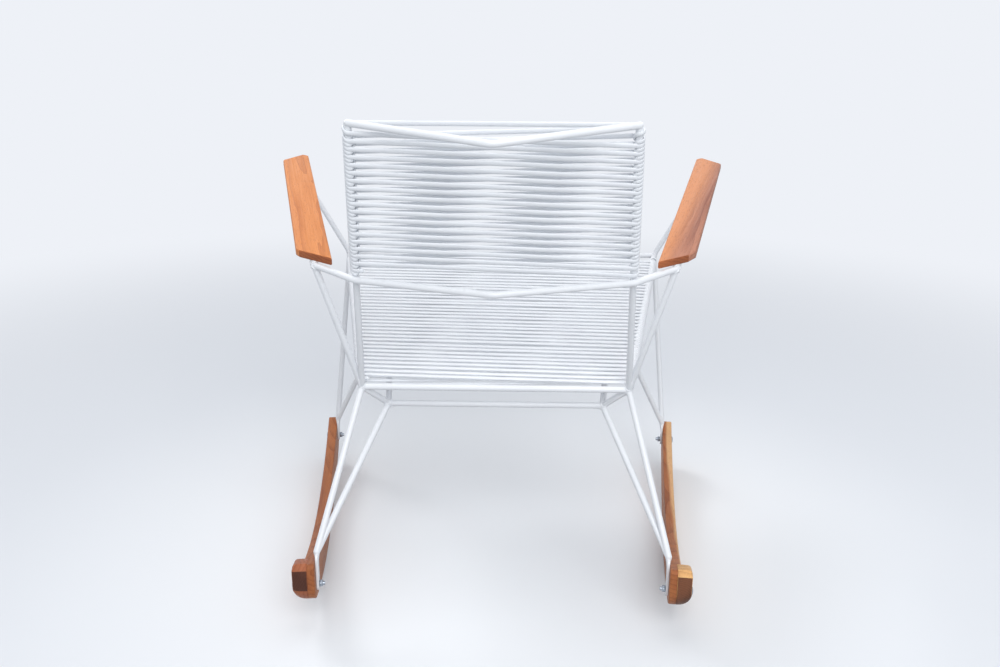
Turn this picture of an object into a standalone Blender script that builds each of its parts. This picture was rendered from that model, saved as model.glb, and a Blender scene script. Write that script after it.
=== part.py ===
"""String rocking chair: a welded rod frame on two wooden rockers, with a wound cord seat and back.

Metres, +Z up, front of the chair towards +Y, left and right mirrored across X = 0.
"""

import math

import bmesh
import bpy
import numpy as np
from mathutils import Matrix, Vector

# Rods and gaps
ROD_D = 0.010
GAP = 0.0003
ROD_RES = 4
BEND_R = 0.028
BEND_STEPS = 5
JOINT_EASE = 0.006

# Seat frame: half widths, heights and depths of the corners
SEAT_REAR_HALF = 0.211
SEAT_FRONT_HALF = 0.310
SEAT_REAR_Y = -0.098
SEAT_DEPTH = 0.512
SEAT_REAR_Z = 0.332
SEAT_RISE = 0.096
FRONT_BAR_DROP = 0.012

# Lower frame, hung under the seat
LOW_REAR_SIDE = 0.037
LOW_FRONT_SIDE = 0.096
LOW_REAR_IN = 0.034
LOW_FRONT_IN = 0.125
LOW_REAR_DROP = 0.041
LOW_FRONT_DROP = 0.083

# Back
BACK_TAPER = 0.0245
BACK_RISE = 0.431
BACK_SETBACK = 0.182
TOP_BOW = 0.061
TOP_BOW_DROP = 0.018
TOP_BAR_OVER = 0.002

# Arms: centre line of the top face, from the seat's corners; plan shape of the board
ARM_REAR_OUT = 0.053
ARM_REAR_BACK = 0.061
ARM_REAR_UP = 0.230
ARM_FRONT_OUT = 0.090
ARM_FRONT_BACK = 0.044
ARM_FRONT_UP = 0.200
ARM_W = 0.049
ARM_T = 0.012
ARM_CUT = 0.023
ARM_EDGE_R = 0.003
ARM_CLIP_L = 0.010
ARM_CLIP_W = 0.012
ARM_BAR_DOWN = 0.2459
ARM_BAR_BOW = 0.072
ARM_BAR_CLEAR = 0.0014

# Rockers: ends from the seat's corners, two arcs with one lowest place
PLANK_T = 0.018
PLANK_H = 0.063
PLANK_BELOW = 0.006
PLANK_REAR_BACK = 0.174
PLANK_REAR_OUT = 0.063
PLANK_FRONT_BACK = 0.059
PLANK_FRONT_OUT = 0.038
ROCK_R_REAR = 1.00
ROCK_R_FRONT = 1.30
ROCK_LOW_IN = 0.329
TREADS = 15
PLANK_EDGE_R = 0.002
END_CHAMFER = 0.010
REAR_UNDER_R = 0.024
REAR_STEPS = 5
KNOT_CLEAR = 0.026

# Heel blocks, let into the outer face of the rockers' rear ends
HEEL_L = 0.044
HEEL_T = 0.022
HEEL_SINK = 0.007
HEEL_UNDER_R = 0.018
HEEL_OVER_R = 0.006
HEEL_STEPS = 4

# Foot plates, bolts and nuts
FOOT_T = 0.004
FOOT_W = 0.020
FOOT_STEPS = 6
REAR_FOOT_IN = 0.027
REAR_FOOT_LOW = 0.008
REAR_FOOT_TALL = 0.063
FRONT_FOOT_IN = 0.030
FRONT_FOOT_LOW = 0.022
FRONT_FOOT_TALL = 0.046
BOLT_D = 0.006
BOLT_UP = 0.010
HEAD_D = 0.014
HEAD_T = 0.0035
NUT_FLATS = 0.010
NUT_T = 0.005
BOLT_END = 0.0025
BOLT_CLEAR = 0.0003

# Wound cord: the strings share the stretch of rail between their first and last places
CORD_D = 0.006
CORD_RES = 1
CORD_END_GAP = 0.012
BACK_FIRST = 0.0105
BACK_LAST = 0.2330
BACK_LOOPS = 18
SEAT_FIRST = 0.030
SEAT_LAST = 0.0320
SEAT_FRONT_LOOPS = 17
SEAT_REAR_LOOPS = 18
SLANT = 1.22

WHITE = (0.86, 0.87, 0.89)
CORD_WHITE = (0.88, 0.89, 0.91)
ARM_WOOD = (0.55, 0.25, 0.11)
ROCKER_WOOD = (0.42, 0.20, 0.10)
HEEL_WOOD = (0.34, 0.16, 0.09)
ZINC = (0.62, 0.63, 0.65)

ROD_R = ROD_D / 2
CORD_R = CORD_D / 2
UP = Vector((0, 0, 1))


def material(name, colour, roughness, metallic):
    """A plain Principled material."""
    made = bpy.data.materials.new(name)
    made.use_nodes = True
    shader = made.node_tree.nodes["Principled BSDF"]
    shader.inputs["Base Color"].default_value = (*colour, 1)
    shader.inputs["Roughness"].default_value = roughness
    shader.inputs["Metallic"].default_value = metallic
    made.diffuse_color = (*colour, 1)
    return made


def mirrored(point):
    return Vector((-point[0], point[1], point[2]))


def eased(joint, far):
    """A rod's start, a little out of the middle of a joint."""
    return joint + (far - joint).normalized() * JOINT_EASE


def rounded(points, radius):
    """The polyline with each inner corner turned into an arc."""
    points = [Vector(p) for p in points]
    path = [points[0]]
    for before, corner, after in zip(points, points[1:], points[2:]):
        a = (before - corner).normalized()
        b = (after - corner).normalized()
        half = a.angle(b) / 2
        reach = min(radius / math.tan(half), 0.45 * min((before - corner).length, (after - corner).length))
        turn = reach * math.tan(half)
        centre = corner + (a + b).normalized() * (turn / math.sin(half))
        start = corner + a * reach - centre
        end = corner + b * reach - centre
        sweep = start.angle(end)
        axis = start.cross(end).normalized()
        for step in range(BEND_STEPS + 1):
            path.append(centre + Matrix.Rotation(sweep * step / BEND_STEPS, 3, axis) @ start)
    path.append(points[-1])
    return path


def mesh_object(name, mesh):
    obj = bpy.data.objects.new(name, mesh)
    bpy.context.scene.collection.objects.link(obj)
    return obj


def tube(name, path, radius, resolution):
    """A closed mesh tube along a polyline, from a bevelled curve with filled ends."""
    curve = bpy.data.curves.new(name, "CURVE")
    curve.dimensions = "3D"
    curve.bevel_depth = radius
    curve.bevel_resolution = resolution
    curve.use_fill_caps = True
    line = curve.splines.new("POLY")
    line.points.add(len(path) - 1)
    for point, place in zip(line.points, path):
        point.co = (*place, 1)
    guide = mesh_object(name + "_guide", curve)
    bpy.context.view_layer.update()
    graph = bpy.context.evaluated_depsgraph_get()
    mesh = bpy.data.meshes.new_from_object(guide.evaluated_get(graph))
    bpy.data.objects.remove(guide)
    bm = bmesh.new()
    bm.from_mesh(mesh)
    bmesh.ops.remove_doubles(bm, verts=bm.verts, dist=1e-6)
    bmesh.ops.recalc_face_normals(bm, faces=bm.faces)
    bm.to_mesh(mesh)
    bm.free()
    mesh.name = name
    return mesh_object(name, mesh)


def baked(obj):
    """Applies the modifiers and keeps the largest connected body."""
    bpy.context.view_layer.update()
    graph = bpy.context.evaluated_depsgraph_get()
    mesh = bpy.data.meshes.new_from_object(obj.evaluated_get(graph))
    obj.modifiers.clear()
    bm = bmesh.new()
    bm.from_mesh(mesh)
    bm.verts.ensure_lookup_table()
    left = set(range(len(bm.verts)))
    bodies = []
    while left:
        stack = [left.pop()]
        body = set(stack)
        while stack:
            for edge in bm.verts[stack.pop()].link_edges:
                for vert in edge.verts:
                    if vert.index in left:
                        left.discard(vert.index)
                        body.add(vert.index)
                        stack.append(vert.index)
        bodies.append(body)
    largest = max(bodies, key=len)
    extra = [v for v in bm.verts if v.index not in largest]
    bmesh.ops.delete(bm, geom=extra, context="VERTS")
    bm.to_mesh(mesh)
    bm.free()
    obj.data = mesh
    return obj


def cut(obj, cutter):
    """Takes the cutter out of the object and removes the cutter."""
    step = obj.modifiers.new("cut", "BOOLEAN")
    step.operation = "DIFFERENCE"
    step.solver = "EXACT"
    step.object = cutter
    cutter.hide_render = True
    cutter.display_type = "WIRE"
    baked(obj)
    bpy.data.objects.remove(cutter)
    return obj


def prism(name, outline, thickness, place):
    """A flat outline in local X and Z, extruded along local Y about the middle."""
    bm = bmesh.new()
    ring = [bm.verts.new((x, -thickness / 2, z)) for x, z in outline]
    face = bm.faces.new(ring)
    grown = bmesh.ops.extrude_face_region(bm, geom=[face])
    moved = [v for v in grown["geom"] if isinstance(v, bmesh.types.BMVert)]
    bmesh.ops.translate(bm, verts=moved, vec=(0, thickness, 0))
    bmesh.ops.transform(bm, matrix=place, verts=bm.verts)
    bmesh.ops.recalc_face_normals(bm, faces=bm.faces)
    mesh = bpy.data.meshes.new(name)
    bm.to_mesh(mesh)
    bm.free()
    return mesh_object(name, mesh)


def loft(name, rings):
    """A closed body through rings of equally many points, with its first and last ring filled."""
    bm = bmesh.new()
    rows = [[bm.verts.new(point) for point in ring] for ring in rings]
    bm.faces.new(rows[0])
    bm.faces.new(rows[-1])
    for row, after in zip(rows, rows[1:]):
        for k in range(len(row)):
            bm.faces.new((row[k - 1], row[k], after[k], after[k - 1]))
    bmesh.ops.recalc_face_normals(bm, faces=bm.faces)
    mesh = bpy.data.meshes.new(name)
    bm.to_mesh(mesh)
    bm.free()
    return mesh_object(name, mesh)


def rim_drop(radius, inside):
    """How far a rounded rim has fallen at a distance inside the outer face."""
    return radius - math.sqrt(radius**2 - max(radius - inside, 0.0) ** 2)


def softened(obj, width):
    """Rounds the sharp edges."""
    step = obj.modifiers.new("edges", "BEVEL")
    step.width = width
    step.segments = 2
    step.limit_method = "ANGLE"
    step.angle_limit = math.radians(40)
    return baked(obj)


class Chair:
    """Builds the pieces and keeps each rod's path, so that later rods can be coped to it."""

    def __init__(self):
        self.paths = {}
        self.paint = material("frame_white", WHITE, 0.35, 0.0)
        self.cord = material("cord_white", CORD_WHITE, 0.4, 0.0)
        self.arm_wood = material("arm_wood", ARM_WOOD, 0.5, 0.0)
        self.rocker_wood = material("rocker_wood", ROCKER_WOOD, 0.55, 0.0)
        self.heel_wood = material("heel_wood", HEEL_WOOD, 0.6, 0.0)
        self.zinc = material("zinc", ZINC, 0.35, 1.0)
        self.seat_rear = Vector((SEAT_REAR_HALF, SEAT_REAR_Y, SEAT_REAR_Z))
        self.seat_front = Vector((SEAT_FRONT_HALF, SEAT_REAR_Y + SEAT_DEPTH, SEAT_REAR_Z + SEAT_RISE))
        self.back_top = self.seat_rear + Vector((-BACK_TAPER, -BACK_SETBACK, BACK_RISE))
        self.low_rear = self.seat_rear + Vector((-LOW_REAR_SIDE, LOW_REAR_IN, -LOW_REAR_DROP))
        self.low_front = self.seat_front + Vector((-LOW_FRONT_SIDE, -LOW_FRONT_IN, -LOW_FRONT_DROP))
        self.arm_rear = self.seat_rear + Vector((ARM_REAR_OUT, -ARM_REAR_BACK, ARM_REAR_UP))
        self.arm_front = self.seat_front + Vector((ARM_FRONT_OUT, -ARM_FRONT_BACK, ARM_FRONT_UP))
        self.plank_rear = Vector((SEAT_REAR_HALF + PLANK_REAR_OUT, SEAT_REAR_Y - PLANK_REAR_BACK, 0))
        self.plank_front = Vector((SEAT_FRONT_HALF + PLANK_FRONT_OUT, self.seat_front.y - PLANK_FRONT_BACK, 0))
        self.back_out, self.back_normal = self.plane_axes(self.seat_rear, self.back_top)
        self.seat_out, self.seat_normal = self.plane_axes(self.seat_rear, self.seat_front)

    @staticmethod
    def plane_axes(low, high):
        """Outward and normal directions of the plane through a rail and its mirror image."""
        along = (high - low).normalized()
        normal = Vector((1, 0, 0)).cross(along).normalized()
        out = normal.cross(along).normalized()
        if out.x < 0:
            out = -out
        return out, normal

    def rod(self, name, points, copes=(), feet=()):
        """One rod, cut back where it meets rods and foot plates that are already there."""
        path = rounded(points, BEND_R)
        self.paths[name] = path
        obj = tube(name, path, ROD_R, ROD_RES)
        for other in copes:
            cut(obj, tube("cutter", self.paths[other], ROD_R + GAP, ROD_RES))
        for side, front in feet:
            cut(obj, self.foot_block("cutter", side, front, GAP))
        obj.data.materials.clear()
        obj.data.materials.append(self.paint)
        return obj

    def dress(self, obj, paint):
        obj.data.materials.clear()
        obj.data.materials.append(paint)
        return obj

    # Rockers

    def plank_frame(self, side):
        """Local X runs forward along the plank, Y outward across it, Z up; origin over the rear end."""
        flip = mirrored if side < 0 else Vector
        rear, front = flip(self.plank_rear), flip(self.plank_front)
        along = (front - rear).normalized()
        across = Vector((along.y, -along.x, 0)) * side
        place = Matrix((along, across, UP)).transposed().to_4x4()
        place.translation = rear
        return place, (front - rear).length

    def slope(self):
        """Length of a plank for each unit of the chair's depth."""
        return (self.plank_front - self.plank_rear).length / (self.plank_front.y - self.plank_rear.y)

    def tread(self, s):
        """Height of the underside at a distance along the plank."""
        low = ROCK_LOW_IN * self.slope()
        radius = ROCK_R_REAR if s < low else ROCK_R_FRONT
        return radius - math.sqrt(radius**2 - (s - low) ** 2)

    def flat_drop(self, length, s):
        """How far the treads lie under the arc, so that the lowest one is level with the floor."""
        low = ROCK_LOW_IN * self.slope()
        return self.tread(low + math.copysign(length / TREADS / 2, s - low))

    def plank_outline(self, length, start, end):
        """Side outline between two distances, shaped at the plank's own ends.

        The ends are chamfered, and the rear end is rounded underneath.
        """
        low = ROCK_LOW_IN * self.slope()
        step = length / TREADS
        knots = {start, end}
        half = TREADS + 1
        for k in range(-half, half + 1):
            s = low + (k + 0.5) * step
            if start + KNOT_CLEAR < s < end - KNOT_CLEAR:
                knots.add(s)
        knots = sorted(knots)
        under = []
        for s in knots:
            under.append((s, self.tread(s) - self.flat_drop(length, s) - PLANK_BELOW))
        above = [(s, z + PLANK_H) for s, z in reversed(under)]
        outline = under + above
        trimmed = []
        for i, (x, z) in enumerate(outline):
            before = Vector(outline[i - 1])
            here = Vector((x, z))
            after = Vector(outline[(i + 1) % len(outline)])
            own_end = (x == start and start == 0) or (x == end and end == length)
            if not own_end:
                trimmed.append(here)
                continue
            if i == 0:
                first = here + (before - here).normalized() * REAR_UNDER_R
                last = here + (after - here).normalized() * REAR_UNDER_R
                for k in range(REAR_STEPS + 1):
                    share = k / REAR_STEPS
                    trimmed.append(first.lerp(here, share).lerp(here.lerp(last, share), share))
                continue
            trimmed.append(here + (before - here).normalized() * END_CHAMFER)
            trimmed.append(here + (after - here).normalized() * END_CHAMFER)
        return [(p.x, p.y) for p in trimmed]

    def foot_low(self, side, front):
        """The plank's frame, and a foot's distance along it and lower end."""
        place, length = self.plank_frame(side)
        s = length - FRONT_FOOT_IN * self.slope() if front else REAR_FOOT_IN * self.slope()
        return place, s, self.tread(s) + (FRONT_FOOT_LOW if front else REAR_FOOT_LOW)

    def bolt_place(self, side, front):
        """Distance along the plank and height of a bolt."""
        place, s, low = self.foot_low(side, front)
        return place, s, low + BOLT_UP

    def foot_block(self, name, side, front, grow):
        """The foot plate on the plank's inner face, round at its lower end, or a cutter a little larger."""
        place, s, low = self.foot_low(side, front)
        top = low + (FRONT_FOOT_TALL if front else REAR_FOOT_TALL) + grow
        half = FOOT_W / 2
        outline = [(s + half + grow, top), (s - half - grow, top)]
        for step in range(FOOT_STEPS + 1):
            angle = math.pi * (1 + step / FOOT_STEPS)
            outline.append((s + (half + grow) * math.cos(angle), low + half + (half + grow) * math.sin(angle)))
        shift = Matrix.Translation((0, -(PLANK_T / 2 + GAP + FOOT_T / 2), 0))
        return prism(name, outline, FOOT_T + 2 * grow, place @ shift)

    def foot_top(self, side, front):
        """The point over the middle of a foot plate's upper edge."""
        place, s, low = self.foot_low(side, front)
        tall = FRONT_FOOT_TALL if front else REAR_FOOT_TALL
        return place @ Vector((s, -(PLANK_T / 2 + GAP + FOOT_T / 2), low + tall))

    def cross_bore(self, side, front, radius, start, end, name="cutter"):
        """A round bar across the plank at a bolt, between two distances from the plank's middle."""
        place, s, z = self.bolt_place(side, front)
        path = [place @ Vector((s, start, z)), place @ Vector((s, end, z))]
        return tube(name, path, radius, ROD_RES)

    def heel_block(self, side, tag):
        """The block outside a plank's rear end, lofted so that its outer rims are rounded."""
        place, length = self.plank_frame(side)
        outline = self.plank_outline(length, 0, HEEL_L)
        inner = PLANK_T / 2 - HEEL_SINK + GAP
        outer = inner + HEEL_T
        levels = [inner]
        for step in range(HEEL_STEPS + 1):
            levels.append(outer - HEEL_UNDER_R * (1 - math.sin(math.pi / 2 * step / HEEL_STEPS)))
        rings = []
        for y in levels:
            up, down = rim_drop(HEEL_UNDER_R, outer - y), rim_drop(HEEL_OVER_R, outer - y)
            ring = []
            for s, z in outline:
                height = z - self.tread(s) + self.flat_drop(length, s) + PLANK_BELOW
                z += up * max(1 - height / REAR_UNDER_R, 0.0)
                z -= down * max(1 - (PLANK_H - height) / END_CHAMFER, 0.0)
                ring.append(place @ Vector((s, y, z)))
            rings.append(ring)
        return softened(loft("rocker_heel_" + tag, rings), PLANK_EDGE_R / 2)

    def rocker(self, side, tag):
        place, length = self.plank_frame(side)
        plank = prism("rocker_" + tag, self.plank_outline(length, 0, length), PLANK_T, place)
        softened(plank, PLANK_EDGE_R)
        seat_end = HEEL_L + GAP
        seat = [(-PLANK_H, -PLANK_H), (seat_end, -PLANK_H), (seat_end, 2 * PLANK_H), (-PLANK_H, 2 * PLANK_H)]
        cut(plank, prism("cutter", seat, 2 * HEEL_SINK, place @ Matrix.Translation((0, PLANK_T / 2, 0))))
        heel = self.heel_block(side, tag)
        bore = BOLT_D / 2 + BOLT_CLEAR
        reach = PLANK_T + HEEL_T + HEAD_T
        for front in (False, True):
            cut(plank, self.cross_bore(side, front, bore, -reach, reach))
        cut(heel, self.cross_bore(side, False, bore, -reach, reach))
        self.dress(plank, self.rocker_wood)
        self.dress(heel, self.heel_wood)
        for front, end in ((False, "rear"), (True, "front")):
            foot = self.foot_block(f"{end}_foot_{tag}", side, front, 0)
            cut(foot, self.cross_bore(side, front, bore, -reach, reach))
            self.dress(foot, self.paint)
            self.fastener(side, tag, front, end)

    def fastener(self, side, tag, front, end):
        """A bolt from outside and a nut on the foot plate."""
        place, s, z = self.bolt_place(side, front)
        inner = -(PLANK_T / 2 + GAP + FOOT_T)
        outer = PLANK_T / 2 + GAP + (0 if front else HEEL_T - HEEL_SINK + GAP)
        shank = place @ Vector((s, inner - GAP - NUT_T - BOLT_END, z))
        seat = place @ Vector((s, outer, z))
        top = place @ Vector((s, outer + HEAD_T, z))
        across = (top - seat).normalized()
        axes = across.to_track_quat("Z", "Y").to_matrix().to_4x4()
        bm = bmesh.new()
        reach = (seat - shank).length
        rings = [
            (0, BOLT_D / 2),
            (reach, BOLT_D / 2),
            (reach, HEAD_D / 2),
            (reach + 0.4 * HEAD_T, HEAD_D / 2),
            (reach + 0.85 * HEAD_T, 0.72 * HEAD_D / 2),
            (reach + HEAD_T, 0.4 * HEAD_D / 2),
        ]
        profile = [bm.verts.new((0, 0, 0))]
        profile += [bm.verts.new((radius, 0, height)) for height, radius in rings]
        profile += [bm.verts.new((0, 0, reach + HEAD_T))]
        edges = [bm.edges.new(pair) for pair in zip(profile, profile[1:])]
        bmesh.ops.spin(
            bm, geom=profile + edges, axis=(0, 0, 1), cent=(0, 0, 0), angle=2 * math.pi, steps=12,
            use_merge=True,
        )
        bmesh.ops.remove_doubles(bm, verts=bm.verts, dist=1e-6)
        bmesh.ops.recalc_face_normals(bm, faces=bm.faces)
        bmesh.ops.transform(bm, matrix=Matrix.Translation(shank) @ axes, verts=bm.verts)
        mesh = bpy.data.meshes.new(f"{end}_bolt_{tag}")
        bm.to_mesh(mesh)
        bm.free()
        self.dress(mesh_object(f"{end}_bolt_{tag}", mesh), self.zinc)
        flat = NUT_FLATS / math.sqrt(3)
        outline = [(flat * math.cos(a), flat * math.sin(a)) for a in np.arange(6) * math.pi / 3]
        turn = place @ Matrix.Translation((s, inner - GAP - NUT_T / 2, z))
        nut = prism(f"{end}_nut_{tag}", outline, NUT_T, turn)
        cut(nut, self.cross_bore(side, front, BOLT_D / 2 + BOLT_CLEAR, -3 * PLANK_T, 0))
        self.dress(nut, self.zinc)

    # Frame

    def cross_bar(self, name, end, bow=None, copes=()):
        points = [mirrored(end), end] if bow is None else [mirrored(end), bow, end]
        self.rod(name, points, copes)

    def arm_axis(self):
        """Ends of the rod under an arm board, straight below the board's centre line."""
        drop = UP * -(ARM_T + ROD_R + GAP)
        return self.arm_rear + drop, self.arm_front + drop

    def frame(self):
        top_mid = Vector((0, self.back_top.y - TOP_BOW, self.back_top.z - TOP_BOW_DROP))
        self.cross_bar("top_bar", self.back_top + self.back_out * TOP_BAR_OVER, top_mid)
        self.cross_bar("seat_rear_bar", self.seat_rear)
        self.cross_bar("lower_rear_bar", self.low_rear)
        self.cross_bar("lower_front_bar", self.low_front)
        arm_rear, arm_front = self.arm_axis()
        behind = self.back_normal * (ROD_D + ARM_BAR_CLEAR)
        down = (self.seat_rear - self.back_top).normalized() * ARM_BAR_DOWN
        crossing = self.back_top + down + behind
        bar_mid = Vector((0, crossing.y - ARM_BAR_BOW, crossing.z))
        bar = [mirrored(arm_rear), mirrored(crossing), bar_mid, crossing, arm_rear]
        self.rod("arm_back_bar", bar)
        for side, tag in ((-1, "l"), (1, "r")):
            flip = mirrored if side < 0 else Vector
            rear, front, top = flip(self.seat_rear), flip(self.seat_front), flip(self.back_top)
            low_rear, low_front = flip(self.low_rear), flip(self.low_front)
            back_arm, front_arm = flip(arm_rear), flip(arm_front)
            rear_foot = self.foot_top(side, False)
            front_foot = self.foot_top(side, True)
            t = "_" + tag
            self.rod("front_post" + t, [front_foot + UP * GAP, front, front_arm], feet=[(side, True)])
            self.rod("seat_rail" + t, [rear, front], ["seat_rear_bar", "front_post" + t])
            self.rod("back_rail" + t, [rear, top], ["seat_rear_bar", "seat_rail" + t, "top_bar"])
            self.rod("arm_rail" + t, [back_arm, front_arm], ["arm_back_bar", "front_post" + t])
            joint = ["seat_rear_bar", "seat_rail" + t]
            above = ["arm_back_bar", "arm_rail" + t, "back_rail" + t]
            self.rod("arm_strut" + t, [back_arm, rear], above + joint)
            self.rod(
                "rear_outer_leg" + t, [eased(rear, rear_foot), rear_foot + UP * GAP], joint + ["arm_strut" + t],
                feet=[(side, False)],
            )
            self.rod("lower_side_bar" + t, [low_rear, low_front], ["lower_rear_bar", "lower_front_bar"])
            self.rod(
                "rear_strut" + t, [eased(rear, low_rear), low_rear],
                joint + ["rear_outer_leg" + t, "lower_rear_bar", "lower_side_bar" + t],
            )
            self.rod(
                "rear_inner_leg" + t, [low_rear, rear_foot + UP * GAP],
                ["lower_rear_bar", "lower_side_bar" + t, "rear_strut" + t, "rear_outer_leg" + t],
                feet=[(side, False)],
            )
            self.rod(
                "front_inner_leg" + t, [low_front, front_foot + UP * GAP],
                ["lower_front_bar", "lower_side_bar" + t, "front_post" + t], feet=[(side, True)],
            )
        posts = ["front_post_l", "front_post_r", "seat_rail_l", "seat_rail_r"]
        bow = Vector((0, self.seat_front.y, self.seat_front.z - FRONT_BAR_DROP))
        self.cross_bar("seat_front_bar", self.seat_front, bow, posts)

    def armrest(self, side, tag):
        """A board with both ends cut slantwise, longer on the inner edge."""
        flip = mirrored if side < 0 else Vector
        rear, front = flip(self.arm_rear), flip(self.arm_front)
        along = (front - rear).normalized()
        across = along.cross(UP).normalized() * side
        normal = UP
        place = Matrix((along, normal, across)).transposed().to_4x4()
        place.translation = rear - normal * (ARM_T / 2)
        length = (front - rear).length
        half = ARM_W / 2
        outline = [
            (-ARM_CUT, -half),
            (length + ARM_CUT - ARM_CLIP_L, -half),
            (length + ARM_CUT, -half + ARM_CLIP_W),
            (length - ARM_CUT, half),
            (ARM_CUT, half),
        ]
        board = prism("armrest_" + tag, outline, ARM_T, place)
        softened(board, ARM_EDGE_R)
        self.dress(board, self.arm_wood)

    # Wound cord

    def winding(self, name, low, high, out, normal, first, pitch, loops):
        """One cord wound round a rail and its mirror image, from the high end downward.

        Each strand slants by SLANT pitches, and each half turn round a rail comes back, so that
        one loop moves on by one pitch.
        """
        along = (low - high).normalized()
        turn_r = (ROD_R + GAP + CORD_R) / math.cos(math.pi / 8)
        back = (SLANT - 0.5) * pitch
        s = first
        path = [mirrored(high + along * s + turn_r * normal) + Vector((CORD_END_GAP, 0, 0))]
        for loop in range(loops):
            for side in (1, -1):
                flip = Vector if side > 0 else mirrored
                s += SLANT * pitch
                for step in range(5):
                    angle = math.pi / 2 - step * math.pi / 4
                    if side < 0:
                        angle = -angle
                    at = s - back * step / 4
                    spot = high + along * at
                    spot = spot + turn_r * (math.cos(angle) * out + math.sin(angle) * normal)
                    path.append(flip(spot))
                s -= back
        obj = tube(name, path, CORD_R, CORD_RES)
        self.dress(obj, self.cord)
        print(f"{name}: least gap to itself {1000 * least_gap(path, CORD_D):.2f} mm")
        return path

    def windings(self):
        """The back's cord, and the seat's cord in two lengths, one after the other."""
        wound = (self.back_top - self.seat_rear).length - BACK_FIRST - BACK_LAST
        self.winding(
            "back_winding", self.seat_rear, self.back_top, self.back_out, self.back_normal,
            BACK_FIRST, wound / BACK_LOOPS, BACK_LOOPS,
        )
        wound = (self.seat_front - self.seat_rear).length - SEAT_FIRST - SEAT_LAST
        pitch = wound / (SEAT_FRONT_LOOPS + SEAT_REAR_LOOPS)
        lengths = (("front", SEAT_FIRST, SEAT_FRONT_LOOPS),
                   ("rear", SEAT_FIRST + SEAT_FRONT_LOOPS * pitch, SEAT_REAR_LOOPS))
        for end, first, loops in lengths:
            self.winding(
                "seat_winding_" + end, self.seat_rear, self.seat_front, self.seat_out, self.seat_normal,
                first, pitch, loops,
            )


def least_gap(path, diameter):
    """Least clear distance between parts of a path that aren't neighbours, on points set along it."""
    places = [np.array(p) for p in path]
    points = []
    length = [0.0]
    walked = 0.0
    points.append(places[0])
    for a, b in zip(places, places[1:]):
        size = float(np.linalg.norm(b - a))
        count = max(1, int(size / 0.004))
        for k in range(1, count + 1):
            points.append(a + (b - a) * k / count)
            length.append(walked + size * k / count)
        walked += size
    points = np.array(points)
    length = np.array(length)
    least = 1.0
    for i in range(len(points)):
        far = length - length[i] > 3.5 * diameter
        if far.any():
            least = min(least, float(np.linalg.norm(points[far] - points[i], axis=1).min()))
    return least - diameter


def centre_all():
    """Moves every piece so that the base's middle is the origin."""
    low = np.full(3, 1e9)
    high = np.full(3, -1e9)
    for obj in bpy.context.scene.objects:
        for vert in obj.data.vertices:
            low = np.minimum(low, vert.co)
            high = np.maximum(high, vert.co)
    shift = Vector((-(low[0] + high[0]) / 2, -(low[1] + high[1]) / 2, -low[2]))
    for obj in bpy.context.scene.objects:
        obj.data.transform(Matrix.Translation(shift))
    print("moved by", tuple(round(v, 5) for v in shift))


def main():
    for obj in list(bpy.data.objects):
        bpy.data.objects.remove(obj)
    chair = Chair()
    for side, tag in ((-1, "l"), (1, "r")):
        chair.rocker(side, tag)
    chair.frame()
    for side, tag in ((-1, "l"), (1, "r")):
        chair.armrest(side, tag)
    chair.windings()
    centre_all()


main()
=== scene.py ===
"""Looks of the string rocking chair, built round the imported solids.

Metres, +Z up, the chair's front towards +Y. The camera stands behind the chair.
"""

import logging
import math
from collections.abc import Callable
from dataclasses import dataclass, field
from enum import Enum

import bpy
import numpy as np
from mathutils import Matrix, Vector


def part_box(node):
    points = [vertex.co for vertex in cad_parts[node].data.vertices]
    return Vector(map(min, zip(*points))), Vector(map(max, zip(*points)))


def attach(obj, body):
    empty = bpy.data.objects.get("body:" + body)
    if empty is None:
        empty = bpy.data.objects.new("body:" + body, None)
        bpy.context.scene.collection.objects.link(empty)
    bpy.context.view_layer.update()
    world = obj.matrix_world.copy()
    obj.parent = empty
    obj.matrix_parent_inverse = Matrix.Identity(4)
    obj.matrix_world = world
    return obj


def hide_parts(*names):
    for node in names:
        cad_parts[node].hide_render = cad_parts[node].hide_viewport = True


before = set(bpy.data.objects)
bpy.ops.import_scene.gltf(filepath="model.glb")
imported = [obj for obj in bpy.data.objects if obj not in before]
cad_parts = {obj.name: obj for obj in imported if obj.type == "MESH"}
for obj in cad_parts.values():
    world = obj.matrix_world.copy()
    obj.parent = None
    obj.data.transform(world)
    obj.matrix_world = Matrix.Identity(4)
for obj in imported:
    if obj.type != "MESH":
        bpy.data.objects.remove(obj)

LOG = logging.getLogger("string_chair")
UP = Vector((0.0, 0.0, 1.0))
Colour = tuple[float, float, float]
Triple = tuple[float, float, float]
Socket = bpy.types.NodeSocket
EdgeTest = Callable[[Vector, Vector], bool]
COLOUR, NUMBER, VECTOR = "NodeSocketColor", "NodeSocketFloat", "NodeSocketVector"
WHITE, BLACK = (1.0, 1.0, 1.0, 1.0), (0.0, 0.0, 0.0, 1.0)
SAME_SPOT = 1e-6
TUBE_SMOOTH = 60.0


class Side(Enum):
    """The chair's two sides, as the camera sees them."""

    LEFT = -1
    RIGHT = 1

    @property
    def tag(self) -> str:
        """The letter that ends a piece's name."""
        return "l" if self is Side.LEFT else "r"

    def flip(self, point: Vector) -> Vector:
        """A point of the right side, moved to this side."""
        return Vector((point[0] * self.value, point[1], point[2]))


class End(Enum):
    """The two ends of a rocker."""

    REAR = "rear"
    FRONT = "front"


class Cut(Enum):
    """How a face of a board lies to the grain, as a material slot's number."""

    LONG = 0
    ACROSS = 1


# Modelling steps


def ease(share: float) -> float:
    """A smooth step from 0 to 1."""
    return share * share * (3 - 2 * share)


def on_middle(point: Vector) -> Vector:
    """The same point, moved onto the chair's middle plane."""
    return Vector((0, point.y, point.z))


def axes_frame(x: Vector, y: Vector, z: Vector, origin: Vector) -> Matrix:
    """The frame with these three axes and this origin."""
    made = Matrix((x, y, z)).transposed().to_4x4()
    made.translation = origin
    return made


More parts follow.
